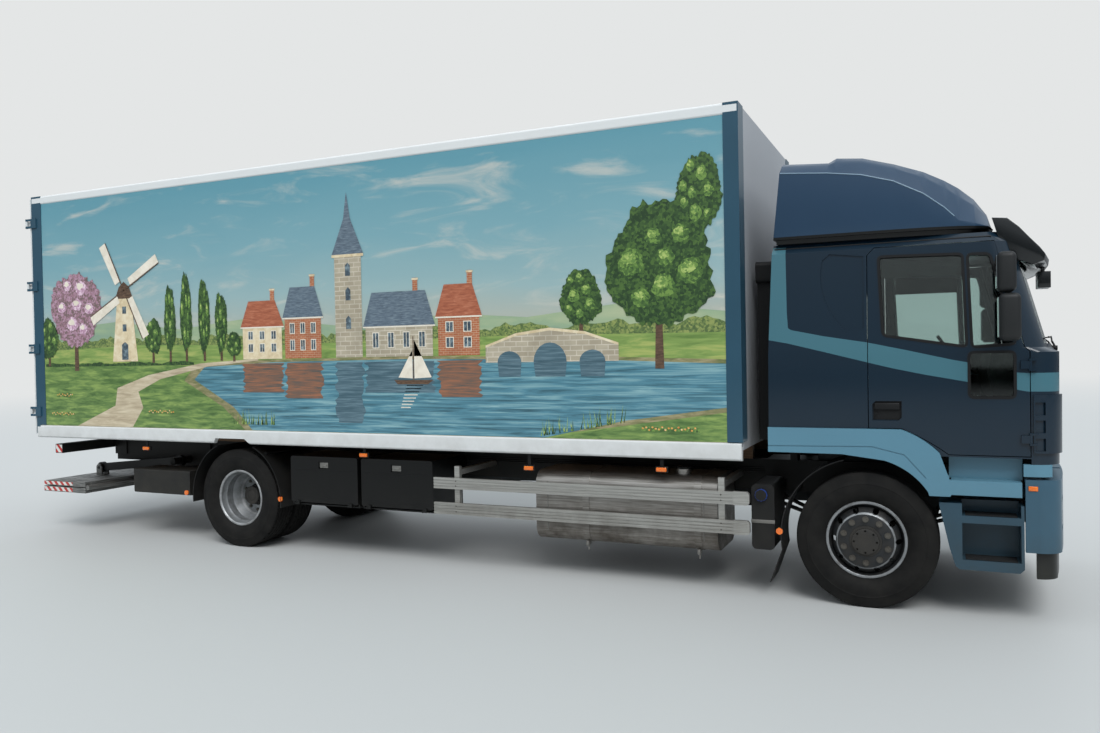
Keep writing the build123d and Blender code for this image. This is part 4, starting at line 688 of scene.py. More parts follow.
def blob(tone, layer, s, z, wide, high, seed, count=44, rough=0.10):
    """Leafy patch: an oval with a lumpy, ragged edge."""
    chance = random.Random(seed)
    shifts = [chance.uniform(0, 2 * pi) for _ in range(3)]
    points = []
    for step in range(count):
        turn = 2 * pi * step / count
        lump = sum(sin(waves * turn + shift) / (index + 1.6)
                   for index, (waves, shift) in enumerate(zip((3, 5, 8), shifts)))
        reach = 1 + rough * (lump * 0.8 + chance.uniform(-0.6, 0.6))
        points.append((s + cos(turn) * reach * wide, z + sin(turn) * reach * high))
    film(tone, layer, *points)


def crown(layer, s, z, wide, high, seed, tones=("leaf_deep", "leaf_mid", "leaf_light"), clumps=12):
    """Head of a tree: a dark mass with lit clumps on it, none of them over another."""
    blob(tones[0], layer, s, z, wide, high, seed, count=90)
    chance = random.Random(seed + 100)
    placed = []
    for _ in range(600):
        turn, reach = chance.uniform(0, 2 * pi), chance.uniform(0, 1) ** 0.5
        size = chance.uniform(0.15, 0.27)
        x, y = cos(turn) * reach * (0.92 - size), sin(turn) * reach * (0.92 - size)
        clear = all(((x - a) ** 2 + (y - b) ** 2) ** 0.5 > (size + c) * 1.18 for a, b, c in placed)
        if len(placed) < clumps and clear:
            placed.append((x, y, size))
    for index, (x, y, size) in enumerate(placed):
        at = (s + (x - 0.05) * wide, z + (y + 0.05) * high)
        blob(tones[1], layer + 1, *at, size * wide, size * high * 0.9, seed + index, 30, 0.14)
        blob(tones[2], layer + 2, at[0] - size * wide * 0.16, at[1] + size * high * 0.26, size * wide * 0.6,
             size * high * 0.42, seed + index + 50, 22, 0.18)


def tree_at(layer, s, ground, trunk, wide, high, seed, clumps, tones=("leaf_deep", "leaf_mid", "leaf_light")):
    """Whole tree with its trunk; ground is the foot's height and high the crown's half height."""
    top = ground + trunk + high * 0.7
    thick = wide * 0.06 + 0.012
    film("timber", layer, (s - thick, ground), (s + thick, ground), (s + thick * 0.5, top),
         (s - thick * 0.5, top))
    crown(layer + 1, s, ground + trunk + high, wide, high, seed, tones, clumps)


def strip(tone, layer, s0, s1, base, top, bump, seed, count=160):
    """Hedge or distant wood: a strip whose upper edge is lumpy."""
    chance = random.Random(seed)
    edge = [(s0 + (s1 - s0) * step / count, top + bump * (sin(step * 0.9) * 0.4 + sin(step * 0.37) * 0.6)
             + chance.uniform(-bump, bump) * 0.6) for step in range(count + 1)]
    film(tone, layer, (s0, base), (s1, base), *reversed(edge))


def windows(layer, s0, s1, z0, z1, across, rows, wide, high, frame_width=0.008, bar_half=0.003):
    """Even rows of framed windows on a wall."""
    for row in range(rows):
        for column in range(across):
            s = s0 + (s1 - s0) * (column + 0.5) / across
            z = z0 + (z1 - z0) * (row + 0.5) / rows
            panel("frame", layer, s - wide / 2 - frame_width, z - high / 2 - frame_width,
                  s + wide / 2 + frame_width, z + high / 2 + frame_width)
            for half in (-1, 1):
                near, far = sorted((s + half * bar_half, s + half * wide / 2))
                panel("window", layer + 1, near, z - high / 2, far, z + high / 2)


def house(layer, s0, s1, base, eaves, ridge, wall, roof, across, rows, hip=0.16):
    """House front with its roof, windows and chimney."""
    panel(wall, layer, s0, base, s1, eaves)
    inset = (s1 - s0) * hip
    film(roof, layer + 1, (s0 - 0.03, eaves - 0.012), (s1 + 0.03, eaves - 0.012), (s1 - inset, ridge),
         (s0 + inset, ridge))
    panel("frame", layer + 2, s0 - 0.03, eaves - 0.02, s1 + 0.03, eaves - 0.006)
    windows(layer + 2, s0 + 0.03, s1 - 0.03, base + 0.05, eaves - 0.03, across, rows,
            (s1 - s0) / across * 0.32, (eaves - base) / rows * 0.46)
    stack = s0 + (s1 - s0) * 0.72
    panel("brick", layer, stack, ridge - 0.1, stack + 0.055, ridge + 0.12)
    panel("plaster", layer + 1, stack - 0.008, ridge + 0.1, stack + 0.063, ridge + 0.118)


# distant hills and wood, then the meadow
film("far_hills", 1, (0, horizon - 0.05), (end, horizon - 0.05),
     *((s, horizon + rise) for s, rise in ((end, 0.20), (7.3, 0.30), (6.4, 0.21), (5.6, 0.27), (4.6, 0.17),
                                           (3.2, 0.31), (2.2, 0.22), (1.2, 0.33), (0, 0.25))))
strip("far_wood", 2, 0, end, horizon - 0.04, horizon + 0.13, 0.035, 5)
film("meadow", 3, (0, picture_bottom), (end, picture_bottom), (end, horizon + 0.03), (6.2, horizon + 0.05),
     (3.6, horizon + 0.02), (1.6, horizon + 0.06), (0, horizon + 0.02))

# lake, from the middle of the picture to its lower right, and the green to its left
foot = picture_bottom
film("shore", 4, (2.35, 1.95), (3.4, 1.99), (5.2, 2.00), (7.2, 1.965), (end, 1.93), (end, 1.49), (6.4, foot),
     (3.05, foot), (2.75, 1.52), (2.15, 1.80))
film("lake", 5, (2.55, 1.925), (3.5, 1.965), (5.2, 1.975), (7.1, 1.94), (end, 1.895), (end, 1.54),
     (7.3, 1.42), (6.55, foot), (3.20, foot), (2.95, 1.50), (2.40, 1.79))
film("lawn", 6, (0, foot), (3.10, foot), (2.80, 1.50), (2.25, 1.78), (2.40, 1.93), (1.50, 1.985), (0, 1.96))
film("lawn", 6, (6.62, foot), (end, foot), (end, 1.50), (7.35, 1.385))
film("path", 7, (0.55, foot), (1.45, foot), (1.62, 1.48), (1.55, 1.66), (1.90, 1.80), (2.60, 1.93),
     (3.30, 1.985), (3.30, 2.005), (2.50, 1.965), (1.72, 1.845), (1.22, 1.70), (1.18, 1.50))

# windmill on the left, then poplars
film("plaster", 8, (1.16, 2.00), (1.56, 2.00), (1.47, 2.72), (1.25, 2.72))
film("timber", 9, (1.22, 2.71), (1.50, 2.71), (1.44, 2.84), (1.36, 2.90), (1.28, 2.84))
film("window", 10, (1.31, 2.02), (1.41, 2.02), (1.41, 2.19), (1.36, 2.22), (1.31, 2.19))
for z in (2.34, 2.54):
    panel("window", 10, 1.33, z, 1.39, z + 0.08)
hub = Vector((1.36, 2.80))
for quarter in range(4):
    turn = radians(90 * quarter + 27)
    along, across = Vector((cos(turn), sin(turn))), Vector((-sin(turn), cos(turn)))
    film("timber", 13, *(hub + along * out + across * off
                         for out, off in ((0, -0.008), (0.62, -0.006), (0.62, 0.006), (0, 0.008))))
    film("sail", 12, *(hub + along * out + across * off
                       for out, off in ((0.12, 0), (0.62, 0), (0.62, 0.11), (0.12, 0.09))))
for s, high, seed in ((2.06, 0.36, 11), (2.30, 0.42, 12), (2.56, 0.38, 13), (2.80, 0.31, 14)):
    tree_at(8, s, 1.99, 0.10, 0.085, high, seed, 7)

# village houses and a plain church tower
house(8, 3.10, 3.62, 2.00, 2.34, 2.60, "plaster", "tile", 3, 2)
house(8, 3.66, 4.12, 2.00, 2.42, 2.72, "brick", "slate", 3, 2)
panel("stone", 8, 4.30, 2.00, 4.62, 3.02)
film("slate", 9, (4.27, 3.01), (4.65, 3.01), (4.50, 3.36), (4.46, 3.62), (4.42, 3.36))
for z in (2.28, 2.56, 2.80):
    film("window", 10, (4.43, z), (4.49, z), (4.49, z + 0.10), (4.46, z + 0.13), (4.43, z + 0.10))
panel("plaster", 10, 4.27, 2.985, 4.65, 3.012)
house(8, 4.66, 5.42, 2.00, 2.30, 2.62, "stone", "slate", 4, 1, 0.10)
house(8, 5.48, 5.92, 2.00, 2.37, 2.66, "brick", "tile", 2, 2)
for s0, s1, depth, tone in ((3.10, 3.62, 0.30, "mirrored_brick"), (3.66, 4.12, 0.36, "mirrored_brick"),
                            (4.30, 4.62, 0.60, "mirrored_slate"), (4.66, 5.42, 0.30, "mirrored_slate"),
                            (5.48, 5.92, 0.34, "mirrored_brick")):
    chance = random.Random(int(s0 * 100))
    edges = [[(s + chance.uniform(-0.03, 0.03) * (row % 2 * 2 - 1), 1.955 - depth * row / 16)
              for row in range(17)] for s in (s0, s1)]
    film(tone, 7, *edges[0], *reversed(edges[1]))

# stone bridge of three arches over the outflow
COPING = ((5.98, 2.065), (6.29, 2.165), (6.62, 2.205), (6.95, 2.165), (7.26, 2.065))
film("stone", 9, (5.98, 1.93), (7.26, 1.93), *((s, z + 0.005) for s, z in reversed(COPING)))
film("plaster", 10, *COPING, (7.26, 2.085), (6.95, 2.190), (6.62, 2.230), (6.29, 2.190), (5.98, 2.085))
for s, wide, high in ((6.22, 0.12, 0.10), (6.62, 0.16, 0.17), (7.02, 0.12, 0.10)):
    film("mirrored_slate", 11, *((s + wide * cos(pi * step / 10), 1.93 + high * sin(pi * step / 10))
                                 for step in range(11)))
    film("mirrored_slate", 7, (s - wide, 1.93), (s - wide * 0.9, 1.80), (s + wide * 0.9, 1.80),
         (s + wide, 1.93))

# sailing boat, reeds, flower beds and the trees in front
film("timber", 8, (5.02, 1.735), (5.36, 1.735), (5.42, 1.775), (4.98, 1.775))
film("sail", 8, (5.21, 1.79), (5.40, 1.80), (5.21, 2.16))
film("sail", 8, (5.19, 1.79), (5.03, 1.80), (5.19, 2.06))
panel("timber", 9, 5.196, 1.77, 5.206, 2.19)
for row in range(8):
    z = 1.72 - row * 0.03
    panel("sail", 7, 5.12 - 0.01 * row, z, 5.30 - 0.02 * row, z + 0.008)
chance = random.Random(21)
for index in range(90):
    s = chance.uniform(2.95, 3.5) if index % 2 else chance.uniform(6.5, 7.3)
    base = 1.27 + (0.05 if index % 2 else max(0.0, (s - 6.5) * 0.17))
    tall = chance.uniform(0.07, 0.17)
    lean = chance.uniform(-0.03, 0.03)
    film("leaf_light" if index % 3 else "leaf_deep", 8, (s - 0.005, base), (s + 0.005, base),
         (s + lean, base + tall))
for s0, s1, z in ((0.10, 0.50, 1.40), (0.20, 0.50, 1.62), (1.70, 2.10, 1.44), (7.45, 7.95, 1.36)):
    strip("leaf_mid", 8, s0, s1, z - 0.025, z + 0.012, 0.008, int(s0 * 90), 30)
    for index in range(int((s1 - s0) / 0.028)):
        s, height = s0 + 0.014 + index * 0.028, z + 0.012 * sin(index * 2.4)
        upright = Matrix.Translation((s, -9 * film_step, height)) @ Matrix.Rotation(pi / 2, 4, "X")
        bm = motifs.setdefault("flowers", bmesh.new())
        bmesh.ops.create_circle(bm, cap_ends=True, radius=1, segments=6,
                                matrix=upright @ Matrix.Diagonal((0.010, 0.009, 1, 1)))
tree_at(8, 0.56, 1.90, 0.30, 0.42, 0.42, 31, 16, ("bloom_deep", "blossom", "sail"))
for layer, s, ground, trunk, wide, high, seed, clumps in (
        (8, 7.62, 1.86, 0.34, 0.46, 0.52, 33, 20), (5, 6.92, 2.04, 0.20, 0.19, 0.24, 34, 9),
        (8, 2.975, 1.98, 0.05, 0.10, 0.13, 35, 5), (8, 0.09, 1.96, 0.08, 0.15, 0.24, 36, 7),
        (8, 1.80, 1.98, 0.10, 0.13, 0.19, 37, 7)):
    tree_at(layer, s, ground, trunk, wide, high, seed, clumps)
crown(11, end - 0.20, 3.30, 0.19, 0.30, 38, clumps=14)
strip("leaf_deep", 7, 0.02, 2.4, 1.95, 1.985, 0.012, 41, 60)

for tone, bm in motifs.items():
    for face in bm.faces:
        face.normal_update()
    bmesh.ops.reverse_faces(bm, faces=[face for face in bm.faces if face.normal.y > 0])
    for hand, turn in (("right", 0.0), ("left", pi)):
        half = bm.copy()
        move = (Matrix.Translation(((picture_back + picture_front) / 2, 0, 0)) @ Matrix.Rotation(turn, 4, "Z")
                @ Matrix.Translation((-end / 2, wall_low.y - first_film, 0)))
        bmesh.ops.transform(half, matrix=move, verts=half.verts)
        data = bpy.data.meshes.new(f"picture_{tone}_{hand}")
        half.to_mesh(data)
        half.free()
        data.materials.append(ENAMELS[tone])
        piece = bpy.data.objects.new(f"picture_{tone}_{hand}", data)
        scene.collection.objects.link(piece)
        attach(piece, "chassis")
    bm.free()


# Rear doors and tail
# White panel doors with full-height lock rods on galvanised brackets, over the folded platform of
# the tail lift, which is worn aluminium with red and white marking tape.
platform_metal = grained("aluminium_platform_worn", ("#5b5b59", "#9d9d9a"), (2.0, 1.2, 30.0),
                         {"Scale": 4.0, "Detail": 7.0}, {"Metallic": 0.75, "Roughness": 0.48}, (0.3, 0.72))
chrome, tree, shader, place = blank("hard_chromed_rod")
oil = add(tree, "TexNoise", {"Vector": place, "Scale": 40.0, "Detail": 4.0})
feed(tree, shader, {"Base Color": linear("#c9cacc"), "Metallic": 1.0,
                    "Roughness": add(tree, "MapRange", {"Value": oil, "To Min": 0.08, "To Max": 0.3})})
dress(platform_metal, "lift_platform")
dress(black_enamel, "lift_arms", "lift_cylinders")
dress(chrome, "lift_rods")

tape, tree, shader, place = blank("red_white_reflective_tape")
parts = add(tree, "SeparateXYZ", {0: place}).outputs
slant = add(tree, "Math", {0: parts["X"], 1: parts["Y"]}, operation="ADD")
slant = add(tree, "Math", {0: slant, 1: parts["Z"]}, operation="ADD")
block_pair = 0.10
turns = add(tree, "Math", {0: slant, 1: block_pair}, operation="DIVIDE")
part = add(tree, "Math", {0: turns}, operation="FRACT")
half = add(tree, "Math", {0: part, 1: 0.5}, operation="GREATER_THAN")
blocks = add(tree, "Mix", {"Factor": half, 6: linear("#b3221d"), 7: linear("#d8d8d4")}, data_type="RGBA")
feed(tree, shader, {"Base Color": dusty(tree, place, blocks, "#5f574c", 0.2, 1.2, 0.25)[0], "Roughness": 0.3})

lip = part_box("lift_platform")[0].x
marks, grips = bmesh.new(), bmesh.new()
for side, hand in SIDES:
    for low, high in ((0.462, 0.508), (0.536, 0.576)):
        brick(marks, (lip + 0.002, side * 1.1994, low), (lip + 0.50, side * 1.2006, high))
    brick(marks, (lip - 0.0004, side * 0.60, 0.462), (lip + 0.0006, side * 1.19, 0.508))
for row in range(9):
    y = -1.1 + row * 0.275
    for line in range(6):
        x = lip + 0.10 + line * 0.10
        brick(grips, (x, y - 0.09, 0.5835), (x + 0.012, y + 0.09, 0.5865), 0.001, 1)
finished("platform_marking_tape", marks, "platform", tape, "platform")
finished("platform_grip_bars", grips, "platform", platform_metal, "platform")

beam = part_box("underrun_beam")[0].x
bm = bmesh.new()
for side, hand in SIDES:
    brick(bm, (beam + 0.006, side * 1.1904 - 0.0004, 0.925), (beam + 0.114, side * 1.1904 + 0.0004, 1.019))
    brick(bm, (beam - 0.0006, side * 0.32, 0.930), (beam + 0.0004, side * 0.80, 1.014))
finished("beam_marking_tape", bm, "chassis", tape, "chassis")

galvanised, tree, shader, place = blank("hot_dip_galvanised_steel")
spangle = add(tree, "TexVoronoi", {"Vector": place, "Scale": 70.0}).outputs["Color"]
tone = add(tree, "ValToRGB", {0: add(tree, "SeparateXYZ", {0: spangle}).outputs["X"]})
for stop, code in zip(tone.color_ramp.elements, ("#7b7e80", "#9b9ea0")):
    stop.color = linear(code)
feed(tree, shader, {"Base Color": tone, "Metallic": 0.8, "Roughness": 0.42})

rod_x, door_skin = axle - 9.432, axle - 9.4135
for side, hand in SIDES:
    guides, seals = bmesh.new(), bmesh.new()
    y = side * 0.180
    for z in (1.50, 1.95, 2.45, 2.95, 3.40):
        brick(guides, (rod_x - 0.014, y - 0.030, z - 0.018), (rod_x + 0.016, y + 0.030, z + 0.018), 0.004)
    finished(f"lock_rod_guides_{hand}", guides, f"tail_door_{hand}", galvanised, "box_white")
    for z in (1.22, 3.94):
        brick(seals, (door_skin - 0.003, side * 0.02, z - 0.010), (door_skin, side * 1.245, z + 0.010), 0.002)
    brick(seals, (door_skin - 0.0045, side * 0.005, 1.18), (door_skin, side * 0.022, 3.94), 0.002)
    finished(f"door_edge_seal_{hand}", seals, f"tail_door_{hand}", black_plastic, "black_plastic")


# Lamps and markers along the sides
# Orange side markers hang under the lower rail on small brackets, with lamps on the mudguards.
def lens_plastic(name, code):
    """Tinted acrylic with its moulded ribs."""
    material, tree, shader, place = blank(name)
    ribs = add(tree, "TexWave", {"Vector": place, "Scale": 60.0, "Distortion": 0.0},
               bands_direction="X").outputs["Fac"]
    feed(tree, shader, {"Base Color": linear(code), "Roughness": 0.12, "Coat Weight": 0.6,
                        "Subsurface Weight": 0.25, "Subsurface Scale": 0.01,
                        "Normal": add(tree, "Bump", {"Height": ribs, "Strength": 0.3, "Distance": 0.001})})
    return material


orange_lens = lens_plastic("orange_acrylic_lens", "#e0701a")
red_lens = lens_plastic("red_acrylic_lens", "#a8140f")
white_lens = lens_plastic("white_acrylic_lens", "#d7d9d8")


def round_lamp(bm, x, side, back, face, z, radius=0.026):
    """Round lamp on a side, between two distances from the truck's middle."""
    y0, y1 = sorted((side * back, side * face))
    rod(bm, (axle + x, y0, z), (axle + x, y1, z), radius, 20)


lenses, holders = bmesh.new(), bmesh.new()
for x, z in ((-4.644, 1.037), (-1.606, 1.011), (-2.842, 0.977), (-7.618, 1.019)):
    x += axle
    for side, hand in SIDES:
        brick(lenses, (x - 0.045, side * 1.215, z - 0.018), (x + 0.045, side * 1.236, z + 0.018), 0.007, 3)
        brick(holders, (x - 0.055, side * 1.196, z - 0.026), (x + 0.055, side * 1.2165, z + 0.026), 0.004)
        brick(holders, (x - 0.016, side * 1.198, z + 0.02), (x + 0.016, side * 1.208, 1.118), 0.002)
round_lamp(lenses, -7.012, -1, 1.222, 1.236, 0.550)
for side, hand in SIDES:
    round_lamp(lenses, -5.698, side, 1.222, 1.236, 0.549)
    round_lamp(lenses, -0.646, side, 1.190, 1.208, 0.555)
    rod(holders, (axle - 0.646, side * 1.17, 0.555), (axle - 0.646, side * 1.192, 0.555), 0.030, 20)
finished("side_marker_lenses", lenses, "chassis", orange_lens, "lamp_lens")
finished("side_marker_holders", holders, "chassis", black_plastic, "black_plastic")


# Cab panels
# Pressed steel in petrol blue enamel, with a light blue band painted across the doors and up the
# rear edge. The arches are light blue moulded plastic. The bumper and steps are a darker blue, which
# holds their road dirt and also paints in the shade on these low panels. The roof fairing is a gel
# coat, painted black at its foot as shade for the gap under it, with a pale rod along its crease
# that is a painted highlight.
BAND_TOP = ((-0.72, 2.81), (-0.5720, 2.81), (-0.5712, 2.195), (-0.560, 2.168), (-0.534, 2.151),
            (-0.289, 2.097), (0.027, 2.042), (0.289, 1.982), (0.616, 1.902), (0.724, 1.880), (1.019, 1.806),
            (1.095, 1.802), (1.36, 1.802))
BAND_FOOT = ((-0.72, 2.078), (-0.560, 2.046), (-0.322, 1.984), (0.025, 1.891), (0.213, 1.842), (0.434, 1.793),
             (0.730, 1.737), (1.018, 1.686), (1.095, 1.670), (1.36, 1.668))
livery_back, livery_length = -0.72, 2.10
livery_low, livery_height = 1.5, 1.4
# The bumper and step blues are darker than the moulding's own colour: they hold painted shade on these low
# panels as well as their dirt.
bumper_blue_with_painted_shade, step_blue_with_painted_shade = "#38586a", "#2c4756"
# Below the fairing's shade line its gel coat is painted black, as shade for the gap under the fairing.
dam_top, fairing_painted_shade_top = 0.517, 2.886
petrol, band_blue, light_blue, fairing_blue = "#0a2130", "#3f6a76", "#537e91", "#263f57"


def edge_height(tree, along, points):
    """Height of a painted edge as a function of the place along the side."""
    node = add(tree, "FloatCurve", {"Value": along})
    curve = node.mapping.curves[0]
    scaled = [((x - livery_back) / livery_length, (z - livery_low) / livery_height) for x, z in points]
    curve.points[0].location, curve.points[1].location = scaled[0], scaled[-1]
    for point in scaled[1:-1]:
        curve.points.new(*point)
    for point in curve.points:
        point.handle_type = "VECTOR"
    node.mapping.update()
    return node


cab_enamel, tree, shader, place = blank("petrol_cab_enamel")
parts = add(tree, "SeparateXYZ", {0: place}).outputs
along = add(tree, "MapRange", {"Value": parts["X"], "From Min": axle + livery_back,
                               "From Max": axle + livery_back + livery_length})
up = add(tree, "MapRange", {"Value": parts["Z"], "From Min": livery_low,
                            "From Max": livery_low + livery_height})
under = add(tree, "Math", {0: up, 1: edge_height(tree, along, BAND_TOP)}, operation="LESS_THAN")
over = add(tree, "Math", {0: up, 1: edge_height(tree, along, BAND_FOOT)}, operation="GREATER_THAN")
band = add(tree, "Math", {0: under, 1: over}, operation="MULTIPLY")
spread = add(tree, "Math", {0: parts["Y"]}, operation="ABSOLUTE")
outside = add(tree, "Math", {0: spread, 1: 1.10}, operation="GREATER_THAN")
ahead = add(tree, "Math", {0: parts["X"], 1: axle + 1.10}, operation="GREATER_THAN")
shown = add(tree, "Math", {0: outside, 1: ahead}, operation="MAXIMUM")
band = add(tree, "Math", {0: band, 1: shown}, operation="MULTIPLY")
cloud = add(tree, "TexNoise", {"Vector": place, "Scale": 1.6, "Detail": 4.0})
deep = [part * 0.88 for part in linear(petrol)[:3]] + [1.0]
ground = add(tree, "Mix", {"Factor": cloud, 6: deep, 7: linear(petrol)}, data_type="RGBA")
livery = add(tree, "Mix", {"Factor": band, 6: ground, 7: linear(band_blue)}, data_type="RGBA")
peel = add(tree, "TexNoise", {"Vector": place, "Scale": 160.0, "Detail": 1.0})
feed(tree, shader, {"Base Color": dusty(tree, place, livery, "#2c2e2c", 0.9, 1.9, 0.12)[0], "Roughness": 0.32,
                    "Specular IOR Level": paint_gloss, "Coat Weight": 0.35, "Coat Roughness": 0.06,
                    "Normal": add(tree, "Bump", {"Height": peel, "Strength": 0.08, "Distance": 0.0003})})
dress(cab_enamel, "cab_shell", "cab_front", "door_left", "door_right")
dress(painted("light_blue_moulded_plastic", light_blue, 0.36, "#57564f", 0.25, 1.3, 0.3, coat=0.35,
              mottle=0.05), "cab_arches")


def low_moulding(name, code, black_below):
    """Blue moulded plastic, black below a height. On the bumper that is its unpainted dam; on the fairing it is
    painted shade for the gap at its foot.
    """
    material, tree, shader, place = blank(name)
    cloud = add(tree, "TexNoise", {"Vector": place, "Scale": 3.0, "Detail": 5.0})
    deep = [part * 0.85 for part in linear(code)[:3]] + [1.0]
    blue = add(tree, "Mix", {"Factor": cloud, 6: deep, 7: linear(code)}, data_type="RGBA")
    height = add(tree, "SeparateXYZ", {0: place}).outputs["Z"]
    above = add(tree, "Math", {0: height, 1: black_below}, operation="GREATER_THAN")
    split = add(tree, "Mix", {"Factor": above, 6: linear("#0c0d0d"), 7: blue}, data_type="RGBA")
    colour, share = dusty(tree, place, split, "#34352f", 0.25, 1.1, 0.35)
    feed(tree, shader, {"Base Color": colour, "Specular IOR Level": paint_gloss, "Coat Weight": 0.15,
                        "Roughness": add(tree, "MapRange", {"Value": share, "To Min": 0.38, "To Max": 0.8}),
                        "Coat Roughness": 0.1})
    return material


# Steps and bumper take the darker blues, which paint in the shade on these low panels along with their dirt.
dress(low_moulding("blue_step_plastic_with_painted_shade", step_blue_with_painted_shade, 0.0), "steps")
dress(low_moulding("blue_bumper_plastic_with_painted_shade_over_black_dam", bumper_blue_with_painted_shade, dam_top), "bumper")


def copied(node, keep):
    """Copy of a CAD node's skin, merged, with only the faces that keep() chooses."""
    bm = bmesh.new()
    bm.from_mesh(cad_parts[node].data)
    bmesh.ops.remove_doubles(bm, verts=bm.verts, dist=0.0001)
    bmesh.ops.delete(bm, geom=[face for face in bm.faces if not keep(face)], context="FACES")
    return bm


def rounded(node, body, material, slot_name, width):
    """Stands for a CAD node: the same skin with its flat strips smoothed and its edges rounded."""
    bm = copied(node, lambda face: True)
    bmesh.ops.dissolve_limit(bm, angle_limit=radians(0.6), verts=bm.verts, edges=bm.edges)
    sharp = [edge for edge in bm.edges if len(edge.link_faces) == 2 and edge.calc_face_angle() > radians(30)]
    bmesh.ops.bevel(bm, geom=sharp, offset=width, affect="EDGES", segments=3, profile=0.5, material=-1,
                    clamp_overlap=True)
    finished(f"{node}_skin", bm, body, material, slot_name, node, sharp=34)


# The fairing is painted black below its shade line. This is painted shade for the dark gap between the fairing
# and the cab roof.
gel_coat = low_moulding("blue_fairing_gel_coat_with_painted_gap_shade", fairing_blue, fairing_painted_shade_top)
smoked_acrylic = painted("dark_smoked_acrylic", "#0f1315", 0.22, amount=0.0, coat=0.5)
rounded("fairing", "cab", gel_coat, "fairing_blue", 0.006)
rounded("visor", "cab", smoked_acrylic, "black_plastic", 0.004)
# A thin pale rod along each side's crease is a painted highlight, standing for the light that the crease
# catches.
crease_painted_highlight = painted("pale_blue_painted_crease_highlight", "#7f97a9", 0.35, amount=0.0)
CREASE = ((-0.604, 1.198, 3.3885), (-0.250, 1.198, 3.356), (0.0, 1.198, 3.318), (0.227, 1.194, 3.249),
          (0.434, 1.180, 3.138), (0.576, 1.155, 3.026), (0.640, 1.138, 2.961))
crease, gutter = bmesh.new(), bmesh.new()
for side, hand in SIDES:
    for (x0, y0, z0), (x1, y1, z1) in zip(CREASE, CREASE[1:]):
        rod(crease, (axle + x0, side * y0, z0), (axle + x1, side * y1, z1), 0.004, 8)
    rod(gutter, (axle - 0.660, side * 1.146, 2.795), (axle + 0.880, side * 1.146, 2.795), 0.006, 8)
finished("fairing_crease_painted_highlight", crease, "cab", crease_painted_highlight, "fairing_blue")
finished("roof_gutters", gutter, "cab", black_plastic, "black_plastic")


def hazed(name, code, scale, detail, clean, dull, look):
    """Smooth glass or silvering under a thin haze."""
    material, tree, shader, place = blank(name)
    haze = add(tree, "TexNoise", {"Vector": place, "Scale": scale, "Detail": detail})
    feed(tree, shader, {"Base Color": linear(code), **look,
                        "Roughness": add(tree, "MapRange", {"Value": haze, "To Min": clean, "To Max": dull})})
    return material


dress(hazed("tinted_safety_glass", "#c4d6d2", 3.0, 5.0, 0.0, 0.06,
            {"Transmission Weight": 1.0, "IOR": 1.5, "Coat Weight": 0.3}),
      "windscreen", "door_glass_left", "door_glass_right")


# Window rubbers and door handles
# Black extruded rubber seals each pane into the door's skin, and a black pull handle sits in the
# pressed well behind the door's rear edge. Both swing with the door.
# height, half width, front at the corner and front at the middle
LEVELS = ((1.150, 1.215, 1.308, 1.358), (1.950, 1.212, 1.312, 1.368), (1.985, 1.211, 1.228, 1.345),
          (2.755, 1.176, 1.024, 1.140), (2.830, 1.120, 0.960, 1.060))
front_half = 1.041


def skin(z):
    """Half width, front at the corner and front at the middle of the cab's skin at a height."""
    for low, high in zip(LEVELS, LEVELS[1:]):
        if z <= high[0]:
            share = (z - low[0]) / (high[0] - low[0])
            return [a + (b - a) * share for a, b in zip(low[1:], high[1:])]
    return list(LEVELS[-1][1:])


def softened(points, radius, steps=4):
    """Closed path with its corners rounded."""
    path = []
    for index, point in enumerate(points):
        here = Vector(point)
        before, after = Vector(points[index - 1]), Vector(points[(index + 1) % len(points)])
        cut_back = min(radius, (before - here).length / 2.2, (after - here).length / 2.2)
        start, finish = (here + (other - here).normalized() * cut_back for other in (before, after))
        for step in range(steps + 1):
            share = step / steps
            path.append(start * (1 - share) ** 2 + here * 2 * share * (1 - share) + finish * share ** 2)
    return path


def ribbon(bm, path, width, sink, proud, side):
    """Closed strip along a path of the cab's side, on its skin."""
    rings = []
    for index, point in enumerate(path):
        along = (path[(index + 1) % len(path)] - path[index - 1]).normalized()
        out = Vector((-along.y, along.x)) * width / 2
        corners = ((point - out, -sink), (point - out, proud), (point + out, proud), (point + out, -sink))
        rings.append([bm.verts.new((axle + place.x, side * (skin(place.y)[0] + lift), place.y))
                      for place, lift in corners])
    for ring, following in zip(rings, rings[1:] + rings[:1]):
        for a in range(4):
            b = (a + 1) % 4
            bm.faces.new((ring[a], ring[b], following[b], following[a]))


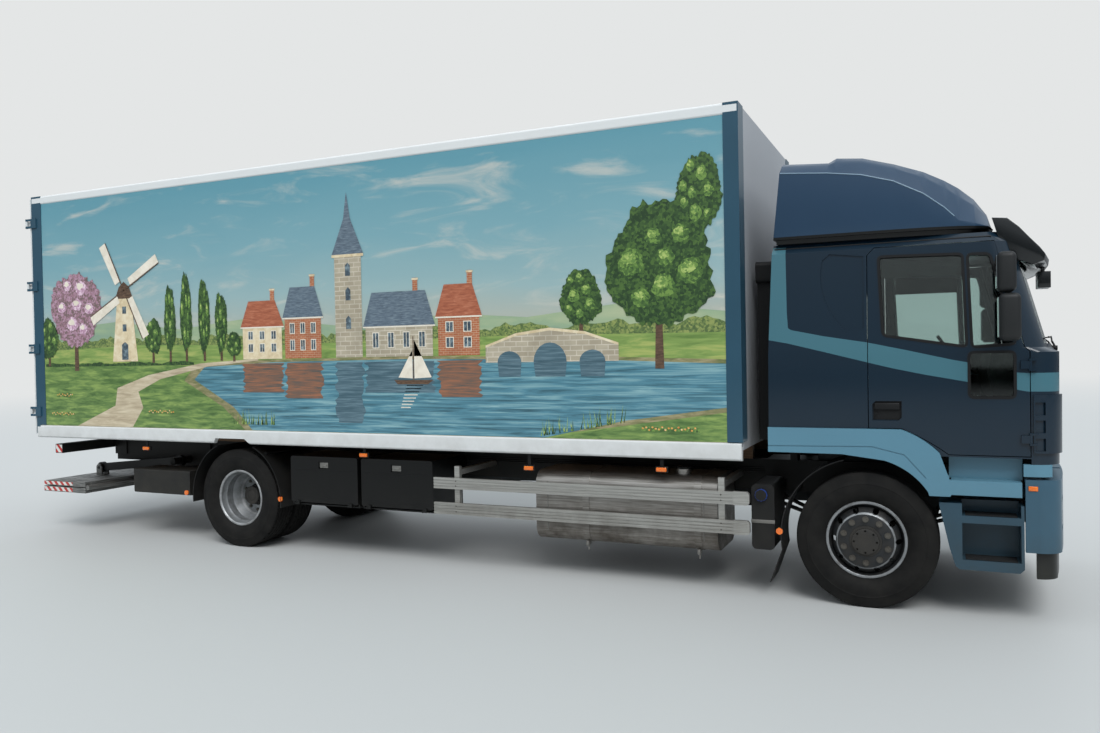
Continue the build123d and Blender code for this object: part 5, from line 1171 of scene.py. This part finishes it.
seal_rubber = painted("extruded_seal_rubber", "#0e0f10", 0.6, amount=0.0, peel=300, peel_depth=0.0002)
PANES = {"main": ((0.140, 2.092), (0.112, 2.690), (0.690, 2.676), (0.712, 1.996)),
         "quarter": ((0.746, 1.990), (0.722, 2.672), (0.868, 2.668), (1.028, 2.010)),
         "kerb": ((0.725, 1.625), (0.725, 1.955), (1.021, 1.955), (1.021, 1.625))}
well_depth = 0.0275
for side, hand in SIDES:
    rubbers, handle, blind = bmesh.new(), bmesh.new(), bmesh.new()
    for pane, corners in PANES.items():
        if pane != "kerb" or side == -1:
            ribbon(rubbers, softened(corners, 0.035), 0.020, 0.006, 0.0035, side)
    y = side * (skin(1.52)[0] - well_depth)
    brick(handle, (axle + 0.066, y, 1.455), (axle + 0.263, y + side * 0.003, 1.591), 0.001, 1)
    low, high = sorted((side * (skin(1.56)[0] - 0.016), side * (skin(1.56)[0] - 0.002)))
    brick(handle, (axle + 0.074, low, 1.531), (axle + 0.254, high, 1.584), 0.006, 3)
    high -= 0.008 if side > 0 else 0
    rod(handle, (axle + 0.086, low, 1.500), (axle + 0.086, high, 1.500), 0.008, 14)
    for row in range(9):
        z = 2.525 + row * 0.018
        y = skin(z)[0] - 0.034 - 0.004 * (row % 2)
        brick(blind, (axle + 0.128, side * (y - 0.0015), z), (axle + 0.686, side * (y + 0.0015), z + 0.019))
    for name, bm, material in (("window_rubbers", rubbers, seal_rubber),
                               ("door_handle", handle, black_plastic), ("window_blind", blind, seal_rubber)):
        finished(f"{name}_{hand}", bm, f"cab_door_{hand}", material, "black_plastic")


# Wipers and front trim
# Two pressed arms with rubber blades park along the foot of the windscreen. Below them are the
# grille's beads, blank plates, bumper repeaters and the ribbed treads of the steps.
def on_screen(y, z, lift):
    """Point in front of the cab's skin."""
    _, corner, middle = skin(z)
    return Vector((axle + corner + (middle - corner) * (1 - (y / front_half) ** 2) + lift, y, z))


ahead = Vector((1, 0, 0))
blade, blade_z = 0.66, 2.058
bm = bmesh.new()
for pivot in (-0.78, -0.02):
    base, elbow = on_screen(pivot, 1.975, 0.012), on_screen(pivot + 0.10, 2.025, 0.020)
    rod(bm, base, base + ahead * 0.022, 0.018, 20)
    rod(bm, base + ahead * 0.012, elbow, 0.0075, 10)
    rod(bm, elbow, on_screen(pivot + blade / 2, 2.062, 0.020), 0.006, 10)
    for step in range(8):
        y = pivot + 0.02 + blade * step / 8
        rod(bm, on_screen(y, blade_z, 0.010), on_screen(y + blade / 8, blade_z, 0.010), 0.0055, 8)
finished("wipers", bm, "cab", seal_rubber, "black_plastic")

beads, plates, repeaters, treads = bmesh.new(), bmesh.new(), bmesh.new(), bmesh.new()
for step in range(24):
    a, b = (-0.74 + place * 1.48 / 24 for place in (step, step + 1))
    for z in (1.33, 1.62):
        rod(beads, on_screen(a, z, -0.024), on_screen(b, z, -0.024), 0.004, 6)
for x, low, high in ((1.3735, 0.365, 0.475), (-9.1785, 0.918, 1.024)):
    brick(plates, (axle + x, -0.26, low), (axle + x + 0.004, 0.26, high), 0.0015)
for side, hand in SIDES:
    brick(repeaters, (axle + 1.096, side * 1.2155, 0.962), (axle + 1.156, side * 1.2215, 0.996), 0.004, 3)
    for z in (0.4385, 0.7625):
        for rib in range(7):
            y = side * (1.035 + rib * 0.026)
            brick(treads, (axle + 0.690, y, z), (axle + 1.030, y + side * 0.014, z + 0.006), 0.002, 1)
plate_white = painted("blank_number_plate", "#cfd0cc", 0.35, amount=0.2, high=0.9)
finished("grille_beads", beads, "cab", black_plastic, "black_plastic")
finished("number_plates_blank", plates, "chassis", plate_white, "black_plastic")
finished("bumper_repeaters", repeaters, "chassis", orange_lens, "lamp_lens")
finished("step_treads", treads, "chassis", seal_rubber, "black_plastic")


# Mirrors
# Two grained black housings on arms by each door, the upper one for the wide angle, with silvered
# glass that faces back.
mirror_plastic = painted("mirror_housing_grained_plastic", "#1d1f20", 0.5, "#4a4a48", 1.8, 2.2, 0.15,
                         peel=500, peel_depth=0.0004)
silvering = hazed("silvered_mirror_glass", "#b9c0c4", 12.0, 4.0, 0.0, 0.08, {"Metallic": 1.0})
glass_inset = 0.022
for side, hand in SIDES:
    housings, panes = bmesh.new(), bmesh.new()
    for x0, x1, y0, y1, z0, z1 in ((0.905, 1.045, 1.290, 1.500, 2.030, 2.362),
                                   (0.895, 1.020, 1.290, 1.490, 2.372, 2.650)):
        brick(housings, (axle + x0 + 0.004, side * y0, z0), (axle + x1, side * y1, z1), 0.038, 5)
        brick(panes, (axle + x0 + 0.0005, side * (y0 + glass_inset), z0 + 0.026),
              (axle + x0 + 0.006, side * (y1 - glass_inset), z1 - 0.026), 0.002, 1)
    rod(housings, (axle + 0.975, side * 1.340, 2.350), (axle + 0.975, side * 1.340, 2.385), 0.022, 20)
    for x, z in ((axle + 1.029, 2.110), (axle + 0.913, 2.590)):
        foot = skin(z)[0]
        rod(housings, (x, side * (foot - 0.004), z), (x, side * 1.300, z), 0.015, 20)
        rod(housings, (x, side * (foot - 0.002), z), (x, side * (foot + 0.012), z), 0.026, 20)
    body, node = f"cab_door_{hand}", f"mirror_{hand}"
    finished(f"mirror_housings_{hand}", housings, body, mirror_plastic, "black_plastic", node)
    finished(f"mirror_panes_{hand}", panes, body, silvering, "glazing", node)


# Inside the cab
# Two sprung seats in woven cloth, on bases of grained plastic like the dash.
dash_plastic = painted("grained_dash_plastic", "#131416", 0.7, amount=0.0, peel=500, peel_depth=0.0002)
dress(dash_plastic, "dashboard")
cloth, tree, shader, place = blank("woven_seat_cloth")
weave = add(tree, "TexChecker", {"Vector": place, "Scale": 220.0, "Color1": linear("#24272b"),
                                 "Color2": linear("#383c42")}).outputs
cloud = add(tree, "TexNoise", {"Vector": place, "Scale": 9.0, "Detail": 4.0})
worn = add(tree, "Mix", {"Factor": cloud, 6: weave["Color"], 7: linear("#2b3038")}, data_type="RGBA")
feed(tree, shader, {"Base Color": worn, "Roughness": 0.9, "Sheen Weight": 0.3,
                    "Normal": add(tree, "Bump", {"Height": weave["Fac"], "Strength": 0.3, "Distance": 0.0005})})


def cushion(name, low, high, crowned, lean=0.0):
    """Padded block: pulled in between its corners, crowned on top and sewn in three channels."""
    low, high = Vector(low), Vector(high)
    middle, size = (low + high) / 2, high - low
    bm = bmesh.new()
    brick(bm, low, high)
    bmesh.ops.subdivide_edges(bm, edges=bm.edges, cuts=7, use_grid_fill=True)
    for vert in bm.verts:
        unit = Vector(((vert.co[axis] - middle[axis]) / (size[axis] / 2) for axis in range(3)))
        for axis in range(3):
            others = [unit[other] for other in range(3) if other != axis]
            pull = 1 - 0.10 * (others[0] ** 2 + others[1] ** 2) ** 2
            vert.co[axis] = middle[axis] + (vert.co[axis] - middle[axis]) * pull
        seam = min(abs(unit.y - place) for place in (-0.38, 0.38))
        if seam < 0.12:
            vert.co[crowned] -= 0.012 * (1 if unit[crowned] > 0 else -1)
        vert.co.x -= lean * (vert.co.z - low.z)
    piece = finished(name, bm, "cab", cloth, "seat_cloth", "seats", sharp=180)
    smooth = piece.modifiers.new("smooth", "SUBSURF")
    smooth.levels = smooth.render_levels = 1


for side, hand in SIDES:
    y0, y1 = sorted((side * 0.560, side * 1.060))
    cushion(f"seat_squab_{hand}", (axle - 0.06, y0, 1.44), (axle + 0.44, y1, 1.60), 2)
    cushion(f"seat_back_{hand}", (axle - 0.075, y0 + 0.01, 1.57), (axle + 0.065, y1 - 0.01, 2.16), 0, 0.22)
    cushion(f"seat_headrest_{hand}", (axle - 0.215, y0 + 0.13, 2.185), (axle - 0.105, y1 - 0.13, 2.37), 0)
    bm = bmesh.new()
    brick(bm, (axle, y0 + 0.06, 1.25), (axle + 0.38, y1 - 0.06, 1.445), 0.015)
    for y in ((y0 + y1) / 2 - 0.06, (y0 + y1) / 2 + 0.06):
        rod(bm, (axle - 0.165, y, 2.12), (axle - 0.160, y, 2.22), 0.008, 12)
    finished(f"seat_base_{hand}", bm, "cab", dash_plastic, "dash_plastic", "seats")


# Lamps
# Each headlamp is a clear lens over two bright bowls in a black housing; tail lamps have red and
# orange lenses on a black base.
clear = hazed("clear_polycarbonate_lens", "#eef2f2", 20.0, 3.0, 0.02, 0.1,
              {"Transmission Weight": 1.0, "IOR": 1.45})
bm = copied("lamps", lambda face: face.normal.x > 0.15 and face.calc_center_median().x > 0)
lens = finished("headlamp_lenses", bm, "chassis", clear, "lamp_lens", "lamps")
wall = lens.modifiers.new("wall", "SOLIDIFY")
wall.thickness = 0.003

silvered, tree, shader, place = blank("vacuum_silvered_reflector")
facets = add(tree, "TexVoronoi", {"Vector": place, "Scale": 60.0}).outputs["Distance"]
feed(tree, shader, {"Base Color": linear("#d5d7d9"), "Metallic": 1.0, "Roughness": 0.12,
                    "Normal": add(tree, "Bump", {"Height": facets, "Strength": 0.2, "Distance": 0.002})})
back, face, tail = axle + 1.192, axle + 1.262, axle - 9.173 - 0.070
bowls, housings, bases = bmesh.new(), bmesh.new(), bmesh.new()
for side, hand in SIDES:
    for y, radius in ((0.790, 0.078), (0.970, 0.085)):
        front = Vector((face, side * y, 0.795))
        rod(bowls, front - ahead * 0.060, front, radius * 0.35, 32, tip=radius)
        rod(bowls, front - ahead * 0.055, front - ahead * 0.02, 0.016, 16, tip=0.010)
    for x, low, high in ((back + 0.004, 0.664, 0.896), (face, 0.664, 0.668), (face, 0.892, 0.896)):
        brick(housings, (back, side * 0.704, low), (x, side * 1.076, high))
    brick(bases, (tail + 0.010, side * 0.830, 0.925), (tail + 0.0695, side * 1.150, 1.019), 0.005)
finished("headlamp_bowls", bowls, "chassis", silvered, "lamp_lens", "lamps")
finished("headlamp_housings", housings, "chassis", black_plastic, "lamp_lens", "lamps")
for use, y0, y1, material in (("stop", 0.836, 0.975, red_lens), ("turn", 0.980, 1.060, orange_lens),
                              ("reverse", 1.065, 1.144, white_lens)):
    bm = bmesh.new()
    for side, hand in SIDES:
        brick(bm, (tail, side * y0, 0.932), (tail + 0.014, side * y1, 1.012), 0.005, 3)
    finished(f"tail_lamp_{use}", bm, "chassis", material, "lamp_lens", "lamps")
finished("tail_lamp_bases", bases, "chassis", black_plastic, "black_plastic", "lamps")
